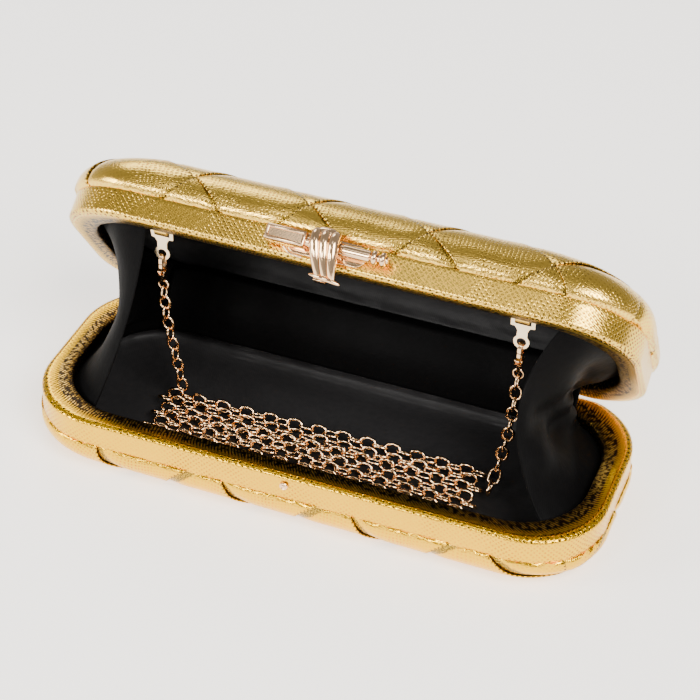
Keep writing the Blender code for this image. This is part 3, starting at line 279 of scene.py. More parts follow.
def lay_grid(bm: BMesh, points: np.ndarray, u: np.ndarray, v: np.ndarray,
             mark: np.ndarray | None = None) -> list:
    """Adds a grid of faces through points, with its UV in metres.

    Args:
        bm: The mesh to add to.
        points: Array of rows, columns and x, y, z.
        u: Distance of each column.
        v: Distance of each row.
        mark: A value from 0 to 1 for each point, kept in the "mark" attribute.

    Returns:
        The new vertices, row by row.
    """
    rows, cols = points.shape[:2]
    made = bmesh.ops.create_grid(bm, x_segments=cols - 1, y_segments=rows - 1, size=0.5)["verts"]
    uv_layer = bm.loops.layers.uv.get("UVMap") or bm.loops.layers.uv.new("UVMap")
    mark_layer = bm.verts.layers.float.get("mark")
    ordered = [None] * (rows * cols)
    for vert in made:
        col = round((vert.co.x + 0.5) * (cols - 1))
        row = round((vert.co.y + 0.5) * (rows - 1))
        ordered[row * cols + col] = vert
        vert.co = points[row, col]
        for loop in vert.link_loops:
            loop[uv_layer].uv = (u[col], v[row])
        if mark is not None:
            vert[mark_layer] = mark[row, col]
    return ordered


def finish_mesh(bm: BMesh, name: str, look: bpy.types.Material,
                sharp: float | None = None) -> bpy.types.Object:
    """Makes an object of a bmesh, shades it and gives it its material.

    Args:
        bm: The mesh, freed here.
        name: Name of the object.
        look: Its material.
        sharp: Angle in degrees above which an edge stays sharp, or None where none does.

    Returns:
        The object, linked to the scene.
    """
    mesh = bpy.data.meshes.new(name)
    bm.to_mesh(mesh)
    bm.free()
    item = bpy.data.objects.new(name, mesh)
    bpy.context.scene.collection.objects.link(item)
    mesh.materials.append(look)
    mesh.shade_smooth()
    if sharp is not None:
        mesh.set_sharp_from_angle(angle=math.radians(sharp))
    log.info("%s: %d vertices", name, len(mesh.vertices))
    return item


def close_seams(bm: BMesh) -> None:
    """Merges the doubled vertices where a grid meets itself and turns its faces outward."""
    bmesh.ops.remove_doubles(bm, verts=bm.verts, dist=SAME_PLACE)
    bmesh.ops.recalc_face_normals(bm, faces=bm.faces)


@dataclass(frozen=True)
class Finish:
    """Plain settings of a material."""

    colour: Triple
    roughness: float
    metallic: float


def principled(name: str, finish: Finish) -> tuple[bpy.types.Material, bpy.types.Node]:
    """A Principled material with its fixed settings.

    Args:
        name: Name of the material.
        finish: Its settings.

    Returns:
        The material and its shader.
    """
    look = bpy.data.materials.new(name)
    look.use_nodes = True
    shader = look.node_tree.nodes["Principled BSDF"]
    shader.inputs["Base Color"].default_value = (*finish.colour, 1.0)
    shader.inputs["Roughness"].default_value = finish.roughness
    shader.inputs["Metallic"].default_value = finish.metallic
    return look, shader


@dataclass(frozen=True)
class Lamp:
    """A square soft light: where it hangs, its side in metres, its power in watts and its colour."""

    name: str
    place: Triple
    size: float
    power: float
    colour: Triple


class Studio:
    """Camera, pale floor and soft lights."""

    eye = Vector((190.47, -525.12, 470.99)) * MM
    aim = Vector((-6.88, 33.53, 20.0)) * MM
    roll = math.radians(2.22)
    focal_pixels = 2118.8
    picture_pixels = 700
    sensor = 36.0
    clip_start = 0.01
    clip_end = 20.0
    floor_half = 3.0
    floor_finish = Finish((0.90, 0.87, 0.825), 0.9, 0.0)
    floor_glow = (1.0, 0.97, 0.93, 1.0)
    floor_glow_strength = 1.3
    rise = (-0.15, 0.9)
    sweep = (-0.6, 0.7)
    surround_left = (0.80, 0.78, 0.80)
    surround_right = (0.50, 0.49, 0.52)
    surround_top = (0.37, 0.365, 0.37)
    surround_strength = 0.8
    lamp_aim = Vector((0.0, 0.0, 0.05))
    lamps = (
        Lamp("key", (0.95, -0.75, 1.3), 0.9, 46.0, (1.0, 0.975, 0.94)),
        Lamp("side", (-1.3, -1.0, 0.75), 0.6, 22.0, (1.0, 0.98, 0.96)),
        Lamp("back", (-0.85, 1.2, 1.2), 0.7, 9.0, (0.99, 0.98, 1.0)),
        Lamp("edge", (-0.42, -1.3, 0.88), 0.34, 9.0, (1.0, 0.98, 0.95)),
        Lamp("panel", (-0.24, -0.5, 1.5), 0.42, 1.1, (1.0, 0.98, 0.95)),
    )

    def make_camera(self) -> None:
        """Places the camera where the picture was taken from."""
        data = bpy.data.cameras.new("camera")
        data.sensor_width = self.sensor
        data.lens = self.focal_pixels / self.picture_pixels * self.sensor
        data.clip_start = self.clip_start
        data.clip_end = self.clip_end
        camera = bpy.data.objects.new("camera", data)
        bpy.context.scene.collection.objects.link(camera)
        back = (self.eye - self.aim).normalized()
        right = Vector((0.0, 0.0, 1.0)).cross(back).normalized()
        up = back.cross(right)
        turned_right = right * math.cos(self.roll) + up * math.sin(self.roll)
        turned_up = up * math.cos(self.roll) - right * math.sin(self.roll)
        axes = Matrix((turned_right, turned_up, back)).transposed()
        camera.matrix_world = Matrix.Translation(self.eye) @ axes.to_4x4()
        bpy.context.scene.camera = camera

    def make_floor(self) -> None:
        """A plain pale floor."""
        look, shader = principled("studio_floor", self.floor_finish)
        shader.inputs["Emission Color"].default_value = self.floor_glow
        shader.inputs["Emission Strength"].default_value = self.floor_glow_strength
        bm = bmesh.new()
        bmesh.ops.create_grid(bm, x_segments=1, y_segments=1, size=self.floor_half)
        floor = finish_mesh(bm, "studio_floor", look)

    def make_light(self, lamp: Lamp) -> None:
        """Hangs one soft light and aims it at the bag.

        Args:
            lamp: The light.
        """
        data = bpy.data.lights.new(lamp.name, "AREA")
        data.size = lamp.size
        data.energy = lamp.power
        data.color = lamp.colour
        light = bpy.data.objects.new(lamp.name, data)
        bpy.context.scene.collection.objects.link(light)
        light.location = lamp.place
        light.rotation_mode = "QUATERNION"
        light.rotation_quaternion = (Vector(lamp.place) - self.lamp_aim).to_track_quat("Z", "Y")

    def make_world(self) -> None:
        """A pale surround, a little darker above and on the right."""
        world = bpy.data.worlds.new("surround")
        bpy.context.scene.world = world
        world.use_nodes = True
        sheet = Sheet(world.node_tree)
        sky = world.node_tree.nodes["Background"]
        way = sheet.feed(sheet.node("SeparateXYZ"), Vector=sheet.node("TexCoord").outputs["Generated"])
        low = sheet.blend(sheet.ramp(way.outputs["X"], *self.sweep), self.surround_left, self.surround_right)
        colour = sheet.blend(sheet.ramp(way.outputs["Z"], *self.rise), low, self.surround_top)
        sheet.feed(sky, Color=colour, Strength=self.surround_strength)

    def build(self) -> None:
        """Makes the whole studio."""
        self.make_camera()
        self.make_floor()
        self.make_world()
        for lamp in self.lamps:
            self.make_light(lamp)


class Sheet:
    """A node tree with short ways to add and join nodes."""

    def __init__(self, tree: bpy.types.NodeTree) -> None:
        """Keeps the tree."""
        self.tree = tree

    def node(self, kind: str, **settings: object) -> bpy.types.Node:
        """Adds a node.

        Args:
            kind: Its type name, without the "ShaderNode" in front.
            settings: Properties to set on it.

        Returns:
            The node.
        """
        made = self.tree.nodes.new("ShaderNode" + kind)
        for name, value in settings.items():
            setattr(made, name, value)
        return made

    def feed(self, node: bpy.types.Node, **values: object) -> bpy.types.Node:
        """Sets or links inputs of a node by name, with underscores for spaces.

        Args:
            node: The node.
            values: A socket to link, or a fixed value, for each input.

        Returns:
            The same node.
        """
        for name, value in values.items():
            target = node.inputs[name.replace("_", " ")]
            if isinstance(value, Socket):
                self.tree.links.new(value, target)
            else:
                target.default_value = value
        return node

    def calc(self, operation: str, *values: object) -> Socket:
        """A math node on sockets and numbers.

        Args:
            operation: Its operation.
            values: One to three sockets or numbers.

        Returns:
            The result.
        """
        made = self.node("Math", operation=operation)
        for place, value in enumerate(values):
            if isinstance(value, Socket):
                self.tree.links.new(value, made.inputs[place])
            else:
                made.inputs[place].default_value = value
        return made.outputs[0]

    def times(self, first: object, second: object) -> Socket:
        """The product of two sockets or numbers."""
        return self.calc("MULTIPLY", first, second)

    def less(self, first: object, second: object) -> Socket:
        """What is left of one socket or number when another is taken from it."""
        return self.calc("SUBTRACT", first, second)

    def wave(self, value: object, pitch: object) -> Socket:
        """A value that goes up and down between 0 and a half, once in each pitch."""
        return self.calc("PINGPONG", self.calc("DIVIDE", value, pitch), 0.5)

    def ramp(self, value: Socket, low: float, high: float) -> Socket:
        """A smooth step of a value between two edges.

        Args:
            value: The value.
            low: Where the result is 0.
            high: Where it is 1.

        Returns:
            The result.
        """
        made = self.node("MapRange", interpolation_type="SMOOTHSTEP")
        self.feed(made, Value=value)
        made.inputs["From Min"].default_value = low
        made.inputs["From Max"].default_value = high
        return made.outputs["Result"]

    def blend(self, share: object, first: object, second: object) -> Socket:
        """A mix of two colours.

        Args:
            share: How much of the second.
            first: A socket or an RGB colour.
            second: A socket or an RGB colour.

        Returns:
            The mixed colour.
        """
        made = self.node("Mix", data_type="RGBA")
        for place, value in ((0, share), (6, first), (7, second)):
            if isinstance(value, Socket):
                self.tree.links.new(value, made.inputs[place])
            else:
                made.inputs[place].default_value = (*value, 1.0) if place else value
        return made.outputs[2]

    def noise(self, vector: Socket, scale: object, detail: float) -> Socket:
        """A noise value at a vector, with a scale that is a number or a socket."""
        made = self.feed(self.node("TexNoise"), Vector=vector, Scale=scale, Detail=detail)
        return made.outputs["Fac"]


class Groups:
    """Node groups that several materials share."""

    diamond_drift = 260.0
    diamond_wobble = 1.1 * MM
    diamond_edge = (0.2, 0.36)
    line_drift = 90.0
    line_wobble = 2.2 * MM
    line_edge = (0.05, 0.42)
    fine_factor = 14.0
    broad_edge = (0.35, 0.68)

    def __init__(self) -> None:
        """Makes the groups."""
        self.emboss = self.make_emboss()
        self.lines = self.make_lines()
        self.wear = self.make_wear()

    def start(self, name: str, number: str, outputs: tuple[str, ...]) -> tuple:
        """An empty group that takes a vector and a number.

        Args:
            name: Name of the group.
            number: Name of the number.
            outputs: Names of its value outputs.

        Returns:
            The group, its sheet, its input node and its output node.
        """
        group = bpy.data.node_groups.new(name, "ShaderNodeTree")
        for socket, kind in (("Vector", "NodeSocketVector"), (number, "NodeSocketFloat")):
            group.interface.new_socket(name=socket, in_out="INPUT", socket_type=kind)
        for socket in outputs:
            group.interface.new_socket(name=socket, in_out="OUTPUT", socket_type="NodeSocketFloat")
        entry = group.nodes.new("NodeGroupInput")
        leave = group.nodes.new("NodeGroupOutput")
        return group, Sheet(group), entry, leave

    def make_emboss(self) -> bpy.types.NodeTree:
        """Small diamonds pressed into the leather on a staggered grid."""
        group, sheet, entry, leave = self.start("pressed_diamonds", "Pitch", ("Pit",))
        parts = sheet.feed(sheet.node("SeparateXYZ"), Vector=entry.outputs["Vector"])
        drift = sheet.noise(entry.outputs["Vector"], self.diamond_drift, 2.0)
        wobble = sheet.times(sheet.less(drift, 0.5), self.diamond_wobble)
        x = sheet.calc("ADD", parts.outputs["X"], wobble)
        y = sheet.calc("ADD", parts.outputs["Y"], wobble)
        sides = [sheet.calc(operation, x, y) for operation in ("ADD", "SUBTRACT")]
        waves = [sheet.wave(side, entry.outputs["Pitch"]) for side in sides]
        pit = sheet.ramp(sheet.calc("MINIMUM", *waves), *self.diamond_edge)
        sheet.tree.links.new(pit, leave.inputs["Pit"])
        return group

    def make_lines(self) -> bpy.types.NodeTree:
        """Fine uneven lines that run along Y."""
        group, sheet, entry, leave = self.start("fine_lines", "Pitch", ("Line",))
        parts = sheet.feed(sheet.node("SeparateXYZ"), Vector=entry.outputs["Vector"])
        drift = sheet.noise(entry.outputs["Vector"], self.line_drift, 3.0)
        shifted = sheet.calc("ADD", parts.outputs["X"], sheet.times(drift, self.line_wobble))
        wave = sheet.wave(shifted, entry.outputs["Pitch"])
        sheet.tree.links.new(sheet.ramp(wave, *self.line_edge), leave.inputs["Line"])
        return group

    def make_wear(self) -> bpy.types.NodeTree:
        """Broad and fine unevenness of a surface."""
        group, sheet, entry, leave = self.start("uneven_surface", "Scale", ("Broad", "Fine"))
        place, scale = entry.outputs["Vector"], entry.outputs["Scale"]
        broad = sheet.noise(place, scale, 2.0)
        fine = sheet.noise(place, sheet.times(scale, self.fine_factor), 4.0)
        sheet.tree.links.new(sheet.ramp(broad, *self.broad_edge), leave.inputs["Broad"])
        sheet.tree.links.new(fine, leave.inputs["Fine"])
        return group


@dataclass(frozen=True)
class LeatherGrain:
    """Sizes and shades of the pressed leather, of the cut edges of its strips and of the painted shade where
    they pass under each other.
    """

    roughness: float = 0.22
    wear_scale: float = 52.0
    diamond_pitch: float = 1.9 * MM
    line_turn: float = math.radians(62.0)
    line_pitch: float = 0.72 * MM
    line_height: float = 0.14
    pit_fade: Pair = (0.86, 0.14)
    wear_shade: float = 0.87
    pit_tone: Triple = (0.13, 0.072, 0.014)
    rough_span: Pair = (0.20, 0.12)
    depth: float = 0.13 * MM
    glitter_scale: float = 2600.0
    ragged_scale: float = 700.0
    ragged: float = 0.7
    # Where a strip runs under another it is painted dark as shade, flecked with gold.
    under_shade: Pair = (0.3, 0.62)
    under_shade_flecks: Pair = (0.45, 0.6)
    under_shade_dark: Triple = (0.10, 0.055, 0.012)
    under_shade_gold: Triple = (0.62, 0.40, 0.04)
    cut_start: float = 0.9 * MM
    cut_end: float = 0.4 * MM
    bead_pitch: float = 1.5 * MM
    bead_edge: Pair = (0.12, 0.3)
    cut_tone: Triple = (0.14, 0.08, 0.02)
    cut_shade: float = 0.85
    cut_depth: float = 0.8


@dataclass(frozen=True)
class RimZones:
    """Marks on a rim band, painted shade and painted reflection among them: their limits over the band from
    its outer edge, and their shades.
    """

    fleck_scale: float = 900.0
    prick_scale: float = 330.0
    glint_scale: float = 620.0
    prick_shade: float = 0.95
    prick_pitch: float = 2.3 * MM
    prick_share: Pair = (0.40, 0.47)
    fringe_start: Pair = (8.5 * MM, 8.8 * MM)
    fringe_end: Pair = (10.4 * MM, 10.9 * MM)
    prick_tone: Triple = (0.03, 0.018, 0.006)
    top: Pair = (10.8 * MM, 12.0 * MM)
    ridge_turn: float = math.radians(-35.0)
    ridge_pitch: float = 0.95 * MM
    ridge_edge: Pair = (0.3, 0.6)
    # The darker colour in the furrows between the ridges of the top is painted shade.
    furrow_shade: float = 0.35
    furrow_depth: float = 0.4
    painted_furrow_shade: Triple = (0.035, 0.022, 0.008)
    # From the turn inward the band is painted with a dark reflection of the black inside, its edge notched by
    # the ridges, with painted gold glints on them.
    notch: float = 0.9 * MM
    turn: Pair = (12.4 * MM, 12.8 * MM)
    glint_share: Pair = (0.42, 0.56)
    turn_reflection_dark: Triple = (0.03, 0.018, 0.007)
    turn_glint_gold: Triple = (0.72, 0.45, 0.10)
    # The inner lip is painted dark as a reflection of the black inside, flecked with painted gold glints.
    inner: Pair = (15.0 * MM, 18.2 * MM)
    lip_reflection_flecks: Pair = (0.52, 0.7)
    lip_reflection_dark: Triple = (0.035, 0.02, 0.008)
    lip_glint_gold: Triple = (0.5, 0.31, 0.06)
    top_roughness: float = 0.1


@dataclass
class Skin:
    """A leather material in the making: its sheet, its UV in metres and its values so far."""

    sheet: Sheet
    uv: Socket
    tone: Socket
    height: Socket
    rough: Socket


class Looks:
    """Every material of the bag."""

    lower_gold = (0.95, 0.53, 0.004)
    satin_plain = Finish((0.011, 0.0105, 0.011), 0.46, 0.0)
    satin_dark = (0.008, 0.008, 0.0085)
    satin_light = (0.017, 0.016, 0.0165)
    satin_wear_scale = 30.0
    satin_rough_span = (0.14, 0.48)
    satin_sheen = 0.04
    satin_sheen_roughness = 0.4
    satin_depth = 0.18 * MM
    satin_bump = 0.7
    twill_turn = math.radians(28.0)
    twill_pitch = 0.62 * MM
    twill_height = 0.12
    metal_wear_scale = 140.0
    metal_wear_shade = 0.86
    metal_rough_gain = 0.10
    metal_rough_drop = 0.05
    metal_depth = 0.02 * MM
    metal_bump = 0.5
    dull_roughness = 0.85

    def __init__(self) -> None:
        """Makes the materials."""
        self.groups = Groups()
        self.gold = {
            Half.LOWER: self.leather("lower_band_leather", self.lower_gold, 0.55, rim=True),
            Half.LID: self.leather("lid_band_leather", (0.92, 0.58, 0.08), 0.85, rim=True),
        }
        self.loop = self.metal("loop_leather", Finish((0.86, 0.52, 0.08), 0.3, 0.9))
        self.strips = {
            Half.LOWER: self.leather("lower_strip_leather", self.lower_gold, 0.5, 16.26 * MM),
            Half.LID: self.leather("lid_strip_leather", (0.98, 0.63, 0.10), 0.85, 14.32 * MM),
        }
        # The backing's dark brown is painted shade for the gaps between the strips.
        self.gap_shade = self.speckled("gap_shade_backing", (0.1, 0.055, 0.02), (1400.0, 3.0), (0.05, 0.026, 0.008),
                                 (0.2, 0.12, 0.03), 0.2 * MM)
        self.satin = self.black_satin("black_satin", 1.0, 0.2)
        # The gussets and the back cloth use the lining's satin at a fifth of its colour, with less gloss:
        # painted shade.
        self.shade_painted_satin = self.black_satin("shade_painted_satin", 0.2, 0.04)
        self.rose = self.metal("rose_gold", Finish((0.95, 0.63, 0.35), 0.14, 1.0))
        self.pale = self.metal("pale_gold", Finish((0.93, 0.73, 0.46), 0.16, 1.0))
        self.steel = self.metal("frame_steel", Finish((0.5, 0.48, 0.45), 0.34, 1.0))
        self.board = self.speckled("moulded_board", (0.3, 0.24, 0.18), (900.0, 4.0), (0.22, 0.17, 0.12),
                                   (0.36, 0.29, 0.22), 0.1 * MM)

    def begin(self, name: str, finish: Finish) -> tuple[bpy.types.Material, Sheet, bpy.types.Node]:
        """A material of the bag with its fixed settings, its sheet and its shader."""
        look, shader = principled("look_" + name, finish)
        return look, Sheet(look.node_tree), shader

    def use(self, sheet: Sheet, group: bpy.types.NodeTree, **values: object) -> bpy.types.Node:
        """Adds one of the shared groups to a material.

        Args:
            sheet: The material's sheet.
            group: The group.
            values: Its inputs.

        Returns:
            The group's node.
        """
        made = sheet.node("Group")
        made.node_tree = group
        return sheet.feed(made, **values)

    def lines(self, sheet: Sheet, uv: Socket, turn: float, pitch: float) -> Socket:
        """Fine lines at an angle.

        Args:
            sheet: The material's sheet.
            uv: UV in metres.
            turn: Their angle.
            pitch: Distance from line to line.

        Returns:
            Their height from 0 to 1.
        """
        turned = sheet.feed(sheet.node("VectorRotate"), Vector=uv, Angle=turn)
        made = self.use(sheet, self.groups.lines, Vector=turned.outputs["Vector"], Pitch=pitch)
        return made.outputs["Line"]

    def bump(self, sheet: Sheet, shader: bpy.types.Node, height: Socket, depth: float,
             strength: float = 1.0) -> None:
        """Bends the shader's normal by a height from 0 to 1 that is a real depth in metres."""
        made = sheet.feed(sheet.node("Bump"), Height=height, Distance=depth, Strength=strength)
        sheet.feed(shader, Normal=made.outputs["Normal"])

    def leather(self, name: str, colour: Triple, pit_share: float, strip: float = 0.0,
                rim: bool = False) -> bpy.types.Material:
        """Metallic leather pressed with small diamonds and fine lines.

        Args:
            name: Name of the material.
            colour: Its colour.
            pit_share: How dark the pressed pits are.
            strip: Half the width of the woven strips that it is for, or 0 for a band.
            rim: Whether it is for a rim band, with a ridged top and a painted dark reflection of the inside
                over its turn and inner lip.

        Returns:
            The material.
        """
        grain = LeatherGrain()
        look, sheet, shader = self.begin(name, Finish(colour, grain.roughness, 1.0))
        uv = sheet.node("UVMap", uv_map="UVMap").outputs["UV"]
        wear = self.use(sheet, self.groups.wear, Vector=uv, Scale=grain.wear_scale).outputs
        emboss = self.use(sheet, self.groups.emboss, Vector=uv, Pitch=grain.diamond_pitch)
        line = self.lines(sheet, uv, grain.line_turn, grain.line_pitch)
        fade = sheet.calc("MULTIPLY_ADD", wear["Broad"], *grain.pit_fade)
        pits = sheet.times(sheet.times(emboss.outputs["Pit"], fade), pit_share)
        tone = sheet.blend(wear["Fine"], colour, tuple(grain.wear_shade * c for c in colour))
        tone = sheet.blend(pits, tone, grain.pit_tone)
        height = sheet.calc("MULTIPLY_ADD", line, grain.line_height, sheet.less(1.0, pits))
        skin = Skin(sheet, uv, tone, height, sheet.calc("MULTIPLY_ADD", wear["Fine"], *grain.rough_span))
        if strip > 0:
            self.strip_edges(skin, grain, strip)
        if rim:
            self.rim_zones(skin, RimZones())
        sheet.feed(shader, Base_Color=skin.tone, Roughness=skin.rough)
        self.bump(sheet, shader, skin.height, grain.depth)
        return look

    def rim_zones(self, skin: Skin, zones: RimZones) -> None:
        """Adds the pricked outer edge, the ridged top with painted shade in its furrows, and a painted dark
        reflection of the black inside, with painted gold glints, from the turn over the inner lip.

        Args:
            skin: The material, whose UV has X along the rim and Y over it from the outer edge.
            zones: The marks.
        """
        sheet, uv = skin.sheet, skin.uv
        over = sheet.feed(sheet.node("SeparateXYZ"), Vector=uv).outputs["Y"]
        flecks = sheet.noise(uv, zones.fleck_scale, 2.0)
        spots = self.use(sheet, self.groups.emboss, Vector=uv, Pitch=zones.prick_pitch)
        chosen = sheet.ramp(sheet.noise(uv, zones.prick_scale, 1.0), *zones.prick_share)
        past = sheet.ramp(over, *zones.fringe_end)
        fringe = sheet.times(sheet.ramp(over, *zones.fringe_start), sheet.less(1.0, past))
        prick = sheet.times(sheet.times(spots.outputs["Pit"], chosen), fringe)
        tone = sheet.blend(sheet.times(prick, zones.prick_shade), skin.tone, zones.prick_tone)
        top = sheet.ramp(over, *zones.top)
        line = sheet.ramp(self.lines(sheet, uv, zones.ridge_turn, zones.ridge_pitch), *zones.ridge_edge)
        # Painted shade in the furrows between the ridges of the top.
        furrow = sheet.times(sheet.less(1.0, line), top)
        tone = sheet.blend(sheet.times(furrow, zones.furrow_shade), tone, zones.painted_furrow_shade)
        height = sheet.less(sheet.less(skin.height, prick), sheet.times(furrow, zones.furrow_depth))
        # From the turn on, a painted dark reflection of the black inside, broken by painted gold glints on
        # the ridges.
        turn = sheet.ramp(sheet.less(over, sheet.times(line, zones.notch)), *zones.turn)
        wear_and_glints = sheet.times(line, sheet.ramp(sheet.noise(uv, zones.glint_scale, 1.0), *zones.glint_share))
        tone = sheet.blend(turn, tone, sheet.blend(wear_and_glints, zones.turn_reflection_dark, zones.turn_glint_gold))
        # Painted dark reflection over the inner lip, flecked with painted gold glints.
        inner = sheet.ramp(over, *zones.inner)
        lip_reflection_flecks = sheet.blend(sheet.ramp(flecks, *zones.lip_reflection_flecks), zones.lip_reflection_dark, zones.lip_glint_gold)
        skin.tone = sheet.blend(inner, tone, lip_reflection_flecks)
        skin.height = sheet.less(height, sheet.times(inner, flecks))
        skin.rough = sheet.calc("MULTIPLY_ADD", top, zones.top_roughness, skin.rough)

    def strip_edges(self, skin: Skin, grain: LeatherGrain, strip: float) -> None:
        """Adds cut edges, and painted shade flecked with gold where strips pass below another.

        Args:
            skin: The material, whose UV has X across the strip from its middle and Y along it.
            grain: Sizes and shades of the leather.
            strip: Half the width of the strips.
        """
        sheet, uv = skin.sheet, skin.uv
        mark = sheet.node("Attribute", attribute_name="mark").outputs["Fac"]
        glitter = sheet.noise(uv, grain.glitter_scale, 1.0)
        ragged = sheet.times(sheet.less(sheet.noise(uv, grain.ragged_scale, 3.0), 0.5), grain.ragged)
        # Painted shade, flecked with gold, where the strip runs under another.
        under_shade = sheet.ramp(sheet.calc("ADD", mark, ragged), *grain.under_shade)
        under_shade_flecks = sheet.blend(sheet.ramp(glitter, *grain.under_shade_flecks), grain.under_shade_dark, grain.under_shade_gold)
        tone = sheet.blend(under_shade, skin.tone, under_shade_flecks)
        parts = sheet.feed(sheet.node("SeparateXYZ"), Vector=uv)
        half = sheet.calc("ABSOLUTE", parts.outputs["X"])
        edge = sheet.ramp(half, strip - grain.cut_start, strip - grain.cut_end)
        wave = sheet.wave(parts.outputs["Y"], grain.bead_pitch)
        cut = sheet.times(edge, sheet.less(1.0, sheet.ramp(wave, *grain.bead_edge)))
        skin.tone = sheet.blend(sheet.times(cut, grain.cut_shade), tone, grain.cut_tone)
        skin.height = sheet.less(skin.height, sheet.times(cut, grain.cut_depth))

    def speckled(self, name: str, plain: Triple, specks: Pair,
                 dark: Triple, light: Triple,
                 depth: float) -> bpy.types.Material:
        """A dull rough material, used for the dark backing below the strips, whose colour is painted shade
        for the gaps, and for the pressed board of the shells.

        Args:
            name: Name of the material.
            plain: Its colour where specks aren't shown.
            specks: Scale and detail of its specks.
            dark: Colour between the specks.
            light: Colour of the specks.
            depth: Their depth.

        Returns:
            The material.
        """
        look, sheet, shader = self.begin(name, Finish(plain, self.dull_roughness, 0.0))
        speck = sheet.noise(sheet.node("TexCoord").outputs["Object"], *specks)
        sheet.feed(shader, Base_Color=sheet.blend(speck, dark, light))
        self.bump(sheet, shader, speck, depth)
        return look

    def black_satin(self, name: str, tint: float, gloss: float) -> bpy.types.Material:
        """Black lining cloth with a fine twill and soft creases.

        Args:
            name: Name of the material.
            tint: Share of the lining's own colour; below 1 the darkening is painted shade.
            gloss: Specular level.

        Returns:
            The material.
        """
        dark, light = (tuple(tint * c for c in shade) for shade in (self.satin_dark, self.satin_light))
        look, sheet, shader = self.begin(name, self.satin_plain)
        uv = sheet.node("UVMap", uv_map="UVMap").outputs["UV"]
        twill = self.lines(sheet, uv, self.twill_turn, self.twill_pitch)
        wear = self.use(sheet, self.groups.wear, Vector=uv, Scale=self.satin_wear_scale).outputs
        rough = sheet.calc("MULTIPLY_ADD", wear["Broad"], *self.satin_rough_span)
        sheet.feed(shader, Base_Color=sheet.blend(wear["Fine"], dark, light), Roughness=rough,
                   Specular_IOR_Level=gloss, Sheen_Weight=self.satin_sheen * tint * tint,
                   Sheen_Roughness=self.satin_sheen_roughness)
        height = sheet.calc("MULTIPLY_ADD", twill, self.twill_height, wear["Fine"])
        self.bump(sheet, shader, height, self.satin_depth, self.satin_bump)
        return look

    def metal(self, name: str, finish: Finish) -> bpy.types.Material:
        """Polished metal with faint handling marks.

        Args:
            name: Name of the material.
            finish: Its settings.

        Returns:
            The material.
        """
        look, sheet, shader = self.begin(name, finish)
        place = sheet.node("TexCoord").outputs["Object"]
        wear = self.use(sheet, self.groups.wear, Vector=place, Scale=self.metal_wear_scale).outputs
        wear_and_glints = tuple(c * self.metal_wear_shade for c in finish.colour)
        least = finish.roughness - self.metal_rough_drop
        rough = sheet.calc("MULTIPLY_ADD", wear["Fine"], self.metal_rough_gain, least)
        sheet.feed(shader, Base_Color=sheet.blend(wear["Broad"], finish.colour, wear_and_glints), Roughness=rough)
        self.bump(sheet, shader, wear["Fine"], self.metal_depth, self.metal_bump)
        return look


